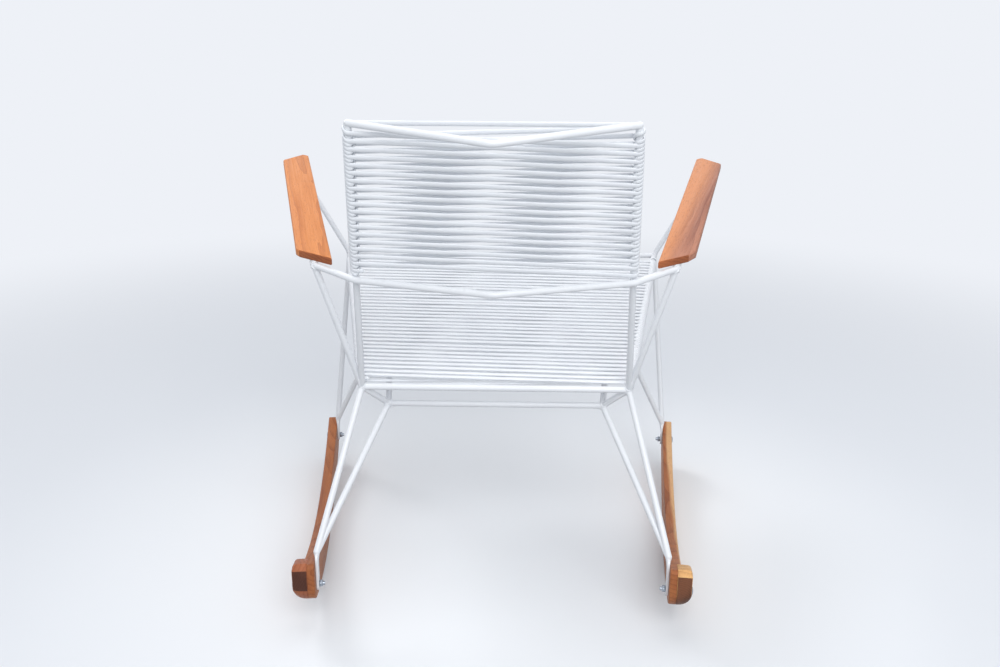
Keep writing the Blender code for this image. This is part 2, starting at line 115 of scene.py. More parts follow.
def clear_selection() -> None:
    """Deselects everything, in object mode."""
    if bpy.context.mode != "OBJECT":
        bpy.ops.object.mode_set(mode="OBJECT")
    bpy.ops.object.select_all(action="DESELECT")


def select_only(obj: bpy.types.Object) -> None:
    """Leaves this object alone selected and active, in object mode.

    Args:
        obj: The object to work on.
    """
    clear_selection()
    obj.select_set(True)
    bpy.context.view_layer.objects.active = obj


def edit_all(obj: bpy.types.Object) -> None:
    """Enters edit mode with the whole mesh selected.

    Args:
        obj: The mesh object.
    """
    select_only(obj)
    bpy.ops.object.mode_set(mode="EDIT")
    bpy.ops.mesh.select_all(action="SELECT")


def pick_edges(obj: bpy.types.Object, wanted: EdgeTest) -> int:
    """Selects the edges that a test takes, and enters edit mode.

    Args:
        obj: The mesh object.
        wanted: A test of an edge's two end points.

    Returns:
        The number of edges taken.
    """
    edit_all(obj)
    bpy.ops.mesh.select_mode(type="EDGE")
    bpy.ops.mesh.select_all(action="DESELECT")
    bpy.ops.object.mode_set(mode="OBJECT")
    verts = obj.data.vertices
    count = 0
    for edge in obj.data.edges:
        edge.select = bool(wanted(verts[edge.vertices[0]].co, verts[edge.vertices[1]].co))
        count += edge.select
    bpy.ops.object.mode_set(mode="EDIT")
    return count


def bevel_edges(obj: bpy.types.Object, width: float, segments: int, wanted: EdgeTest) -> None:
    """Rounds the edges that a test takes.

    Args:
        obj: The mesh object.
        width: Width of the rounding.
        segments: Faces across it.
        wanted: A test of an edge's two end points.
    """
    if pick_edges(obj, wanted):
        bpy.ops.mesh.bevel(offset=width, offset_type="OFFSET", segments=segments, profile=0.5)
    bpy.ops.mesh.select_mode(type="VERT")
    bpy.ops.object.mode_set(mode="OBJECT")


def soften(obj: bpy.types.Object, width: float, segments: int, angle: float = 35.0) -> None:
    """Rounds every sharp edge with a bevel modifier, and applies it.

    Args:
        obj: The mesh object.
        width: Width of the rounding.
        segments: Faces across it.
        angle: Edges sharper than this, in degrees, are rounded.
    """
    select_only(obj)
    step = obj.modifiers.new("soft_edges", "BEVEL")
    step.width = width
    step.segments = segments
    step.limit_method = "ANGLE"
    step.angle_limit = math.radians(angle)
    bpy.ops.object.modifier_apply(modifier=step.name)


def settle(
    obj: bpy.types.Object, name: str, place: Matrix | None = None, smooth: float = 40.0
) -> bpy.types.Object:
    """Puts a piece's place into its mesh, turns its faces out and shades it.

    Args:
        obj: The mesh object.
        name: The piece's name.
        place: From the piece's own frame to the row frame.
        smooth: Edges flatter than this, in degrees, are shaded smooth.

    Returns:
        The same object, at the origin.
    """
    select_only(obj)
    bpy.ops.object.transform_apply(location=True, rotation=True, scale=True)
    if place is not None:
        obj.data.transform(place)
    edit_all(obj)
    bpy.ops.mesh.remove_doubles(threshold=SAME_SPOT)
    bpy.ops.mesh.normals_make_consistent(inside=False)
    bpy.ops.object.mode_set(mode="OBJECT")
    bpy.ops.object.shade_smooth_by_angle(angle=math.radians(smooth))
    obj.name = name
    obj.data.name = name
    return obj


def swept(
    name: str,
    path: np.ndarray,
    radius: float,
    sides: int,
    closed: bool = False,
    girth: np.ndarray | None = None,
) -> bpy.types.Object:
    """A round tube along a line of points, from a bevelled curve made a mesh.

    Args:
        name: The piece's name.
        path: Points, one row each.
        radius: The tube's radius.
        sides: Resolution of the bevel.
        closed: Whether the line comes back to its start.
        girth: The radius at each point, as a share of the tube's.

    Returns:
        The mesh object.
    """
    clear_selection()
    curve = bpy.data.curves.new(name, "CURVE")
    curve.dimensions = "3D"
    curve.bevel_depth = radius
    curve.bevel_resolution = sides
    curve.use_fill_caps = not closed
    line = curve.splines.new("POLY")
    line.points.add(len(path) - 1)
    flat = np.ones((len(path), 4))
    flat[:, :3] = path
    line.points.foreach_set("co", flat.ravel())
    if girth is not None:
        line.points.foreach_set("radius", girth)
    line.use_cyclic_u = closed
    obj = bpy.data.objects.new(name, curve)
    bpy.context.scene.collection.objects.link(obj)
    select_only(obj)
    bpy.ops.object.convert(target="MESH")
    return settle(bpy.context.view_layer.objects.active, name, smooth=TUBE_SMOOTH)


def dress(obj: bpy.types.Object, *finishes: bpy.types.Material) -> None:
    """Gives a piece its materials in order of slot.

    Args:
        obj: The piece.
        finishes: Its materials.
    """
    obj.data.materials.clear()
    for finish in finishes:
        obj.data.materials.append(finish)


def place_piece(obj: bpy.types.Object, slot: str, *nodes: str) -> None:
    """Makes a piece ride on the chair and stand for its solids.

    Args:
        obj: The finished piece.
        slot: A material slot's name; not used.
        nodes: The solids that it stands for.
    """
    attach(obj, "root")
    if nodes:
        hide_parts(*nodes)
    LOG.info("%s: %d faces", obj.name, len(obj.data.polygons))


# Materials


class Graph:
    """Adds nodes to one tree and joins them."""

    def __init__(self, tree: bpy.types.NodeTree) -> None:
        """Takes the tree to work on."""
        self.tree = tree

    def add(self, kind: str, inputs: dict | None = None, **settings: object) -> bpy.types.Node:
        """Adds one node.

        Args:
            kind: The node's type.
            inputs: Socket name or number, to a value or to the output that feeds it.
            settings: The node's own settings.

        Returns:
            The node.
        """
        node = self.tree.nodes.new(kind)
        for key, value in settings.items():
            setattr(node, key, value)
        for key, value in (inputs or {}).items():
            if isinstance(value, Socket):
                self.tree.links.new(value, node.inputs[key])
            else:
                node.inputs[key].default_value = value
        return node

    def maths(self, operation: str, *values: object) -> Socket:
        """The result of one Math node on values or outputs."""
        return self.add("ShaderNodeMath", dict(enumerate(values)), operation=operation).outputs[0]

    def scaled(self, vector: Socket, sizes: Triple) -> Socket:
        """A vector times three sizes."""
        return self.add("ShaderNodeVectorMath", {0: vector, 1: sizes}, operation="MULTIPLY").outputs[0]

    def noise(
        self, vector: Socket, scale: float | Socket = 1.0, detail: float = 2.0, rough: float = 0.5
    ) -> Socket:
        """A noise value from 0 to 1."""
        inputs = {"Vector": vector, "Scale": scale, "Detail": detail, "Roughness": rough}
        return self.add("ShaderNodeTexNoise", inputs).outputs["Fac"]

    def mapped(
        self,
        value: Socket,
        low: float,
        high: float,
        to_low: float | Socket,
        to_high: float | Socket,
        kind: str = "SMOOTHSTEP",
    ) -> Socket:
        """A value moved from one range to another, smoothly or evenly."""
        inputs = {"Value": value, "From Min": low, "From Max": high, "To Min": to_low, "To Max": to_high}
        return self.add("ShaderNodeMapRange", inputs, interpolation_type=kind).outputs["Result"]

    def mixed(self, share: object, a: object, b: object) -> Socket:
        """A colour between two."""
        made = self.add("ShaderNodeMix", {0: share, 6: a, 7: b}, data_type="RGBA", clamp_factor=True)
        return made.outputs[2]


def new_group(
    name: str, inputs: dict[str, tuple[str, object]]
) -> tuple[Graph, dict[str, Socket], bpy.types.Node]:
    """An empty shader node group that gives a colour, a roughness and a height.

    Args:
        name: The group's name.
        inputs: Socket name to its type and value.

    Returns:
        The graph, its input sockets by name, and its output node.
    """
    tree = bpy.data.node_groups.new(name, "ShaderNodeTree")
    for key, (kind, value) in inputs.items():
        made = tree.interface.new_socket(key, in_out="INPUT", socket_type=kind)
        if value is not None:
            made.default_value = value
    for key, kind in (("Color", COLOUR), ("Roughness", NUMBER), ("Height", NUMBER)):
        tree.interface.new_socket(key, in_out="OUTPUT", socket_type=kind)
    graph = Graph(tree)
    start = graph.add("NodeGroupInput")
    end = graph.add("NodeGroupOutput")
    return graph, {key: start.outputs[key] for key in inputs}, end


@dataclass(frozen=True)
class GrainRecipe:
    """What the timber's figure is made of: stretches of its noises, ranges, and shares of its tones."""

    broad_stretch: Triple = (2.2, 24.0, 24.0)
    broad_detail: float = 3.0
    fibre_stretch: Triple = (9.0, 420.0, 420.0)
    fibre_detail: float = 4.0
    fibre_rough: float = 0.6
    fleck_stretch: Triple = (60.0, 1100.0, 1100.0)
    fleck_detail: float = 1.0
    ring_wander: float = 0.016
    late_power: float = 3.0
    late_share: float = 0.34
    fibre_share: float = 0.34
    band_range: tuple[float, float] = (0.35, 0.68)
    edge_wander: float = 0.02
    sap_share: float = 0.85
    pore_range: tuple[float, float] = (0.60, 0.70)
    pore_share: float = 0.35
    fibre_range: tuple[float, float] = (0.2, 0.8)
    gloss: tuple[float, float] = (0.36, 0.58)


@dataclass(frozen=True)
class SkinRecipe:
    """What an uneven skin is made of: the detail of its clouds, and the ranges that tint and gloss take."""

    cloud_detail: float = 4.0
    tint_range: tuple[float, float] = (0.42, 0.75)
    gloss_range: tuple[float, float] = (0.3, 0.7)


class SharedEffects:
    """The node groups that several finishes use, each built once."""

    def __init__(self) -> None:
        """Builds the groups."""
        self.grain = self.wood_grain(GrainRecipe())
        self.skin = self.uneven_skin(SkinRecipe())

    def wood_grain(self, recipe: GrainRecipe) -> bpy.types.NodeTree:
        """Solid timber: rings about the board's length, fibres, pores and a paler sap edge.

        Args:
            recipe: The figure's numbers.

        Returns:
            The group. Its vector runs along the grain in X, in metres.
        """
        graph, ins, end = new_group(
            "wood_grain",
            {
                "Vector": (VECTOR, None), "Pale": (COLOUR, WHITE), "Deep": (COLOUR, BLACK),
                "Sap": (COLOUR, WHITE), "Ring": (NUMBER, 0.006), "Sap Line": (NUMBER, 1.0),
                "Sap Width": (NUMBER, 0.006), "Figure": (NUMBER, 0.5),
            },
        )
        place = ins["Vector"]
        broad = graph.noise(graph.scaled(place, recipe.broad_stretch), detail=recipe.broad_detail)
        fibre = graph.noise(
            graph.scaled(place, recipe.fibre_stretch), detail=recipe.fibre_detail, rough=recipe.fibre_rough
        )
        fleck = graph.noise(graph.scaled(place, recipe.fleck_stretch), detail=recipe.fleck_detail)
        flat = graph.scaled(place, (0.0, 1.0, 1.0))
        reach = graph.add("ShaderNodeVectorMath", {0: flat}, operation="LENGTH").outputs["Value"]
        reach = graph.maths("ADD", reach, graph.maths("MULTIPLY", broad, recipe.ring_wander))
        ring = graph.maths("FRACT", graph.maths("DIVIDE", reach, ins["Ring"]))
        late = graph.maths("MULTIPLY", graph.maths("POWER", ring, recipe.late_power), recipe.late_share)
        bands = graph.maths("MULTIPLY", graph.mapped(broad, *recipe.band_range, 0.0, 1.0), ins["Figure"])
        tone = graph.maths("ADD", late, graph.maths("MULTIPLY", fibre, recipe.fibre_share))
        tone = graph.maths("ADD", tone, bands)
        body = graph.mixed(tone, ins["Pale"], ins["Deep"])
        across = graph.add("ShaderNodeSeparateXYZ", {0: place}).outputs["Y"]
        sway = graph.maths("MULTIPLY", graph.maths("SUBTRACT", broad, 0.5), recipe.edge_wander)
        edge = graph.maths("ADD", across, sway)
        past = graph.maths("DIVIDE", graph.maths("SUBTRACT", edge, ins["Sap Line"]), ins["Sap Width"])
        sap = graph.mapped(past, 0.0, 1.0, 0.0, recipe.sap_share)
        body = graph.mixed(sap, body, ins["Sap"])
        pores = graph.mapped(fleck, *recipe.pore_range, 0.0, 1.0)
        body = graph.mixed(graph.maths("MULTIPLY", pores, recipe.pore_share), body, ins["Deep"])
        gloss = graph.mapped(fibre, *recipe.fibre_range, *recipe.gloss)
        graph.tree.links.new(body, end.inputs["Color"])
        graph.tree.links.new(gloss, end.inputs["Roughness"])
        graph.tree.links.new(graph.maths("SUBTRACT", fibre, pores), end.inputs["Height"])
        return graph.tree

    def uneven_skin(self, recipe: SkinRecipe) -> bpy.types.NodeTree:
        """A painted or extruded skin: faint clouds, a fine ripple and a changing gloss.

        Args:
            recipe: The skin's numbers.

        Returns:
            The group.
        """
        graph, ins, end = new_group(
            "uneven_skin",
            {
                "Vector": (VECTOR, None), "Colour": (COLOUR, WHITE), "Worn": (COLOUR, WHITE),
                "Cloud": (NUMBER, 8.0), "Ripple": (NUMBER, 700.0), "Gloss Low": (NUMBER, 0.3),
                "Gloss High": (NUMBER, 0.45),
            },
        )
        clouds = graph.noise(ins["Vector"], ins["Cloud"], recipe.cloud_detail)
        ripple = graph.noise(ins["Vector"], ins["Ripple"])
        share = graph.mapped(clouds, *recipe.tint_range, 0.0, 1.0)
        tint = graph.mixed(share, ins["Colour"], ins["Worn"])
        rough = graph.mapped(clouds, *recipe.gloss_range, ins["Gloss Low"], ins["Gloss High"], "LINEAR")
        graph.tree.links.new(tint, end.inputs["Color"])
        graph.tree.links.new(rough, end.inputs["Roughness"])
        graph.tree.links.new(ripple, end.inputs["Height"])
        return graph.tree


def blank_material(name: str) -> tuple[bpy.types.Material, Graph, bpy.types.Node]:
    """A material with its Principled shader.

    Args:
        name: The material's name.

    Returns:
        The material, its graph and the shader.
    """
    made = bpy.data.materials.new(name)
    made.use_nodes = True
    return made, Graph(made.node_tree), made.node_tree.nodes["Principled BSDF"]


def join_effect(graph: Graph, shader: bpy.types.Node, effect: bpy.types.Node, depth: float) -> None:
    """Feeds a group's colour, roughness and height to the shader.

    Args:
        graph: The material's graph.
        shader: The Principled shader.
        effect: The group node.
        depth: Depth of the relief, in metres.
    """
    graph.tree.links.new(effect.outputs["Color"], shader.inputs["Base Color"])
    graph.tree.links.new(effect.outputs["Roughness"], shader.inputs["Roughness"])
    relief = {"Strength": 1.0, "Distance": depth, "Height": effect.outputs["Height"]}
    bump = graph.add("ShaderNodeBump", relief)
    graph.tree.links.new(bump.outputs["Normal"], shader.inputs["Normal"])


@dataclass(frozen=True)
class SkinFinish:
    """White paint on the rods, or the white skin of the cord."""

    name: str
    colour: Colour
    worn: Colour
    cloud: float
    ripple: float
    gloss: tuple[float, float]
    depth: float
    coat: float = 0.0

    def material(self, effects: SharedEffects) -> bpy.types.Material:
        """The finish as a material.

        Args:
            effects: The shared node groups.

        Returns:
            The material.
        """
        made, graph, shader = blank_material(self.name)
        place = graph.add("ShaderNodeTexCoord").outputs["Object"]
        skin = graph.add("ShaderNodeGroup", node_tree=effects.skin)
        graph.tree.links.new(place, skin.inputs["Vector"])
        skin.inputs["Colour"].default_value = (*self.colour, 1)
        skin.inputs["Worn"].default_value = (*self.worn, 1)
        skin.inputs["Cloud"].default_value = self.cloud
        skin.inputs["Ripple"].default_value = self.ripple
        skin.inputs["Gloss Low"].default_value, skin.inputs["Gloss High"].default_value = self.gloss
        join_effect(graph, shader, skin, self.depth)
        shader.inputs["Coat Weight"].default_value = self.coat
        return made


@dataclass(frozen=True)
class WoodFinish:
    """Oiled timber, cut along or across the grain."""

    name: str
    pale: Colour
    deep: Colour
    sap: Colour
    ring: float = 0.006
    sap_line: float = 1.0
    figure: float = 0.45
    pith: Triple = (0.0, 0.03, -0.06)
    skew: float = 0.0
    sap_width: float = 0.006
    shine: float = 0.22
    relief: float = 0.00025

    def material(self, effects: SharedEffects, board: Matrix) -> bpy.types.Material:
        """The finish on one board.

        Args:
            effects: The shared node groups.
            board: The board's own frame, X along the grain, without scale or mirror.

        Returns:
            The material.
        """
        made, graph, shader = blank_material(self.name)
        to_board = (board @ Matrix.Rotation(math.radians(self.skew), 4, "Z")).inverted()
        shift = to_board.translation + Vector(self.pith)
        turned = graph.add(
            "ShaderNodeMapping",
            {
                "Vector": graph.add("ShaderNodeTexCoord").outputs["Object"],
                "Location": tuple(shift), "Rotation": tuple(to_board.to_euler()),
            },
        )
        grain = graph.add("ShaderNodeGroup", node_tree=effects.grain)
        graph.tree.links.new(turned.outputs[0], grain.inputs["Vector"])
        for key, colour in (("Pale", self.pale), ("Deep", self.deep), ("Sap", self.sap)):
            grain.inputs[key].default_value = (*colour, 1)
        grain.inputs["Ring"].default_value = self.ring
        grain.inputs["Sap Line"].default_value = self.sap_line + self.pith[1]
        grain.inputs["Sap Width"].default_value = self.sap_width
        grain.inputs["Figure"].default_value = self.figure
        join_effect(graph, shader, grain, self.relief)
        shader.inputs["Specular IOR Level"].default_value = self.shine
        return made


@dataclass(frozen=True)
class ZincFinish:
    """Plated bolts and nuts with a dull spangle."""

    name: str = "zinc_plate"
    bright: Colour = (0.44, 0.48, 0.54)
    dull: Colour = (0.24, 0.27, 0.31)
    spangle: float = 650.0
    gloss: tuple[float, float] = (0.24, 0.44)

    def material(self) -> bpy.types.Material:
        """The finish as a material."""
        made, graph, shader = blank_material(self.name)
        place = graph.add("ShaderNodeTexCoord").outputs["Object"]
        grains = graph.add("ShaderNodeTexVoronoi", {"Vector": place, "Scale": self.spangle})
        share = graph.add("ShaderNodeSeparateColor", {0: grains.outputs["Color"]}).outputs[0]
        tint = graph.mixed(share, (*self.bright, 1), (*self.dull, 1))
        graph.tree.links.new(tint, shader.inputs["Base Color"])
        gloss = graph.mapped(share, 0.0, 1.0, *self.gloss)
        graph.tree.links.new(gloss, shader.inputs["Roughness"])
        shader.inputs["Metallic"].default_value = 1.0
        return made


@dataclass(frozen=True)
class PaperFinish:
    """The plain studio floor: pale to the eye, duller in the light that it sends back."""

    name: str = "studio_paper"
    # Painted light: a paler floor colour round the chair, which lifts the shade that the chair casts there.
    painted_light_colour: Colour = (0.92, 0.935, 0.955)
    colour: Colour = (0.765, 0.785, 0.82)
    bounce: Colour = (0.40, 0.41, 0.425)
    far_colour: Colour = (0.855, 0.88, 0.93)
    core: float = 0.25
    near: float = 1.0
    far: float = 2.8
    rough: float = 0.8
    shine: float = 0.1

    def material(self) -> bpy.types.Material:
        """The finish as a material, with painted light that makes it paler round the chair over the shade
        that the chair casts, and which fades far from the chair to an even ground.
        """
        made, graph, shader = blank_material(self.name)
        place = graph.add("ShaderNodeTexCoord").outputs["Object"]
        ray = graph.add("ShaderNodeLightPath")
        seen = graph.maths("MAXIMUM", ray.outputs["Is Camera Ray"], ray.outputs["Is Glossy Ray"])
        seen = graph.maths("MAXIMUM", seen, ray.outputs["Is Transmission Ray"])
        reach = graph.add("ShaderNodeVectorMath", {0: place}, operation="LENGTH").outputs["Value"]
        # Painted light: within core metres of the chair the floor takes the paler colour, fading to the plain
        # colour by near, which lifts the chair's shade on it.
        outward = graph.mapped(reach, self.core, self.near, 0.0, 1.0)
        pale = graph.mixed(outward, (*self.painted_light_colour, 1), (*self.colour, 1))
        tint = graph.mixed(seen, (*self.bounce, 1), pale)
        graph.tree.links.new(tint, shader.inputs["Base Color"])
        shader.inputs["Roughness"].default_value = self.rough
        shader.inputs["Specular IOR Level"].default_value = self.shine
        fade = graph.maths("MULTIPLY", graph.mapped(reach, self.near, self.far, 0.0, 1.0), seen)
        ground = graph.add("ShaderNodeEmission", {"Color": (*self.far_colour, 1), "Strength": 1.0})
        mix = graph.add("ShaderNodeMixShader", {0: fade, 1: shader.outputs[0], 2: ground.outputs[0]})
        graph.tree.links.new(mix.outputs[0], made.node_tree.nodes["Material Output"].inputs["Surface"])
        return made


# Sizes


@dataclass(frozen=True)
class Layout:
    """The chair's sizes and joints, as the solids have them."""

    rod_r: float = 0.005
    bend_r: float = 0.028
    seat_rear: Triple = (0.211, -0.098, 0.332)
    seat_front: Triple = (0.310, 0.414, 0.428)
    back_top: Triple = (0.1865, -0.280, 0.763)
    low_rear: Triple = (0.174, -0.064, 0.291)
    low_front: Triple = (0.214, 0.289, 0.345)
    arm_rear: Triple = (0.264, -0.159, 0.562)
    arm_front: Triple = (0.400, 0.370, 0.628)
    arm_t: float = 0.012
    top_bow: float = 0.061
    top_bow_drop: float = 0.018
    front_bar_drop: float = 0.012
    arm_bar_at: float = 0.525
    arm_bar_bow: float = 0.072
    arm_bar_off: float = 0.0114
    plank_t: float = 0.018
    plank_h: float = 0.063
    plank_below: float = 0.006
    plank_rear: tuple[float, float] = (0.274, -0.272)
    plank_front: tuple[float, float] = (0.348, 0.355)
    radius_rear: float = 1.00
    radius_front: float = 1.30
    low_y: float = 0.057
    foot_t: float = 0.004
    foot_w: float = 0.020
    foot_y: dict[End, float] = field(default_factory=lambda: {End.REAR: -0.245, End.FRONT: 0.325})
    foot_low: dict[End, float] = field(default_factory=lambda: {End.REAR: 0.008, End.FRONT: 0.022})
    foot_tall: dict[End, float] = field(default_factory=lambda: {End.REAR: 0.063, End.FRONT: 0.046})
    bolt_up: float = 0.010
    heel_l: float = 0.044
    heel_t: float = 0.022
    heel_sink: float = 0.007
    gap: float = 0.0003
    top_over: float = 0.002
    rail_over: float = 0.003

    @property
    def shift(self) -> Vector:
        """From these sizes to the row frame, read from the rear seat bar's place."""
        low, high = (Vector(corner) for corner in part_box("seat_rear_bar"))
        middle = (low + high) / 2
        return Vector((0.0, middle.y - self.seat_rear[1], middle.z - self.seat_rear[2]))

    def at(self, point: Triple, side: Side = Side.RIGHT) -> Vector:
        """A joint on one side, in the row frame."""
        return side.flip(Vector(point)) + self.shift

    def plane_axes(self, low: Triple, high: Triple) -> tuple[Vector, Vector]:
        """The plane through a right-hand rail and its mirror image.

        Args:
            low: The rail's lower end.
            high: Its upper end.

        Returns:
            The direction outward from the rail, and the plane's normal.
        """
        along = (Vector(high) - Vector(low)).normalized()
        normal = Vector((1, 0, 0)).cross(along).normalized()
        out = normal.cross(along).normalized()
        return (out if out.x > 0 else -out), normal

    def plank(self, side: Side) -> tuple[Matrix, float]:
        """A rocker's own frame: X forward, Y outward, Z up, from over its rear end.

        Args:
            side: The rocker's side.

        Returns:
            The frame, mirrored on the left side, and the rocker's length.
        """
        rear = Vector((side.value * self.plank_rear[0], self.plank_rear[1], 0))
        front = Vector((side.value * self.plank_front[0], self.plank_front[1], 0))
        along = (front - rear).normalized()
        across = Vector((along.y, -along.x, 0)) * side.value
        return axes_frame(along, across, UP, rear + self.shift), (front - rear).length

    def on_plank(self, y: float) -> float:
        """Distance along a rocker of a place across the chair's depth."""
        _, length = self.plank(Side.RIGHT)
        return (y - self.plank_rear[1]) * length / (self.plank_front[1] - self.plank_rear[1])

    def tread(self, s: float) -> float:
        """Height of a rocker's arc over its lowest point."""
        low = self.on_plank(self.low_y)
        radius = self.radius_rear if s < low else self.radius_front
        return radius - math.sqrt(radius**2 - (s - low) ** 2)

    def foot(self, side: Side, end: End) -> tuple[Matrix, float, float]:
        """A foot strap's place.

        Args:
            side: The rocker's side.
            end: The rocker's end.

        Returns:
            The rocker's frame, the strap's distance along it and its lower end's height.
        """
        place, _ = self.plank(side)
        s = self.on_plank(self.foot_y[end])
        return place, s, self.tread(s) + self.foot_low[end]

    def foot_top(self, side: Side, end: End) -> Vector:
        """The middle of a foot strap's upper edge."""
        place, s, low = self.foot(side, end)
        return place @ Vector((s, -(self.plank_t + self.foot_t) / 2 - self.gap, low + self.foot_tall[end]))


# The welded frame


@dataclass
class RodFrame:
    """The rods of the frame, and the beads where they are welded."""

    layout: Layout
    paint: bpy.types.Material
    sides: int = 20
    bend_steps: int = 10
    bend_room: float = 0.45
    end_round: float = 0.0014
    end_steps: int = 3
    rim_slack: float = 1e-5
    rim_reach: float = 0.01
    bead_r: float = 0.0015
    bead_sides: int = 2
    bead_points: int = 32
    bead_rise: float = 3.5
    bead_smooth: float = 70.0
    press_reach: tuple[float, float] = (0.007, 0.009)
    press_thin: tuple[float, float] = (0.74, 0.50)
    press_wide: tuple[float, float] = (1.08, 1.16)
    welds: list[tuple[Vector, Vector, Vector]] = field(default_factory=list)

    def rod(self, node: str, points: list[Vector], flat_side: Vector | None = None) -> None:
        """Bends one rod: a round section is drawn straight and spun round each corner.

        Args:
            node: The solid that it stands for.
            points: Its corners from end to end.
            flat_side: For a leg, the direction in which its lower end is pressed flat on the strap.
        """
        heading = (points[1] - points[0]).normalized()
        clear_selection()
        bpy.ops.mesh.primitive_circle_add(
            vertices=self.sides, radius=self.layout.rod_r, fill_type="NGON", location=points[0],
            rotation=heading.to_track_quat("Z", "Y").to_euler(),
        )
        obj = bpy.context.object
        bpy.ops.object.transform_apply(location=True, rotation=True, scale=True)
        edit_all(obj)
        here = points[0]
        for corner, after in zip(points[1:], points[2:]):
            a = (here - corner).normalized()
            b = (after - corner).normalized()
            half = a.angle(b) / 2
            room = self.bend_room * min((here - corner).length, (after - corner).length)
            reach = min(self.layout.bend_r / math.tan(half), room)
            centre = corner + (a + b).normalized() * (reach / math.cos(half))
            start, stop = corner + a * reach, corner + b * reach
            bpy.ops.mesh.extrude_region_move(TRANSFORM_OT_translate={"value": start - here})
            turn = (start - centre).angle(stop - centre)
            axis = (start - centre).cross(stop - centre).normalized()
            bpy.ops.mesh.spin(steps=self.bend_steps, angle=-turn, center=centre, axis=axis)
            here = stop
        bpy.ops.mesh.extrude_region_move(TRANSFORM_OT_translate={"value": points[-1] - here})
        if flat_side is not None:
            for reach in self.press_reach:
                bpy.ops.mesh.extrude_region_move(TRANSFORM_OT_translate={"value": UP * -reach})
        bpy.ops.object.mode_set(mode="OBJECT")
        if flat_side is not None:
            self.press(obj, flat_side)
        ends = ((points[0], heading), (points[-1], (points[-1] - points[-2]).normalized()))

        def on_rim(p: Vector, q: Vector) -> bool:
            """Whether an edge lies on the rim of one of the rod's end faces."""
            for end, along in ends:
                level = abs((p - end).dot(along)) + abs((q - end).dot(along)) < self.rim_slack
                if level and (p - end).length < self.rim_reach:
                    return True
            return False

        bevel_edges(obj, self.end_round, self.end_steps, on_rim)
        settle(obj, "rod_" + node)
        dress(obj, self.paint)
        place_piece(obj, "frame_paint", node)

    def press(self, obj: bpy.types.Object, flat_side: Vector) -> None:
        """Flattens the last two rings of a leg, so that it lies on its strap.

        Args:
            obj: The rod.
            flat_side: The direction in which it is pressed.
        """
        rings = list(obj.data.vertices)[-2 * self.sides:]
        for k, (thin, wide) in enumerate(zip(self.press_thin, self.press_wide)):
            ring = rings[k * self.sides:(k + 1) * self.sides]
            middle = sum((vert.co for vert in ring), Vector()) / self.sides
            for vert in ring:
                off = vert.co - middle
                depth = flat_side * off.dot(flat_side)
                vert.co = middle + depth * thin + (off - depth) * wide

    def weld(self, joint: Vector, own: Vector, other: Vector) -> None:
        """Notes a bead where a rod leaves another at a joint.

        Args:
            joint: Where the two axes meet.
            own: A point further along the rod.
            other: A point on the rod that it is welded to.
        """
        self.welds.append((joint, (own - joint).normalized(), (other - joint).normalized()))

    def bead_line(self, joint: Vector, own: Vector, other: Vector) -> np.ndarray:
        """The line in which one rod's surface meets another's.

        Args:
            joint: Where the two axes meet.
            own: The rod's direction away from the joint.
            other: The other rod's direction.

        Returns:
            Points of the closed line.
        """
        radius = self.layout.rod_r
        across = own.cross(other).normalized()
        beside = across.cross(own)
        lean, share = own.dot(other), beside.dot(other)
        points = []
        for k in range(self.bead_points):
            angle = 2 * math.pi * k / self.bead_points
            tilt = radius * share * math.sin(angle)
            rise = min(max(tilt / (1 - lean), -tilt / (1 + lean)), self.bead_rise * radius)
            spot = across * math.cos(angle) + beside * math.sin(angle)
            points.append(joint + spot * radius + own * rise)
        return np.array(points)

    def beads(self) -> None:
        """Lays all the weld beads as one piece."""
        made = []
        for joint, own, other in self.welds:
            line = self.bead_line(joint, own, other)
            made.append(swept("bead", line, self.bead_r, self.bead_sides, closed=True))
        clear_selection()
        for obj in made:
            obj.select_set(True)
        bpy.context.view_layer.objects.active = made[0]
        bpy.ops.object.join()
        obj = settle(bpy.context.view_layer.objects.active, "weld_beads", smooth=self.bead_smooth)
        dress(obj, self.paint)
        place_piece(obj, "frame_paint")

    def build(self) -> None:
        """Builds every rod and bead."""
        size = self.layout
        rear, front, top = (size.at(p) for p in (size.seat_rear, size.seat_front, size.back_top))
        low_rear, low_front = size.at(size.low_rear), size.at(size.low_front)
        drop = UP * -(size.arm_t + size.rod_r + size.gap)
        arm_rear, arm_front = size.at(size.arm_rear) + drop, size.at(size.arm_front) + drop
        out, normal = size.plane_axes(size.seat_rear, size.back_top)
        crossing = rear.lerp(top, 1 - size.arm_bar_at) + normal * size.arm_bar_off
        end = top + out * size.top_over
        mid = Vector((0, top.y - size.top_bow, top.z - size.top_bow_drop))
        left = Side.LEFT.flip
        self.rod("top_bar", [left(end), mid, end])
        self.rod("seat_rear_bar", [left(rear), rear])
        self.rod("lower_rear_bar", [left(low_rear), low_rear])
        self.rod("lower_front_bar", [left(low_front), low_front])
        bow = Vector((0, crossing.y - size.arm_bar_bow, crossing.z))
        self.rod("arm_back_bar", [left(arm_rear), left(crossing), bow, crossing, arm_rear])
        dip = Vector((0, front.y, front.z - size.front_bar_drop))
        self.rod("seat_front_bar", [left(front), dip, front])
        for side in Side:
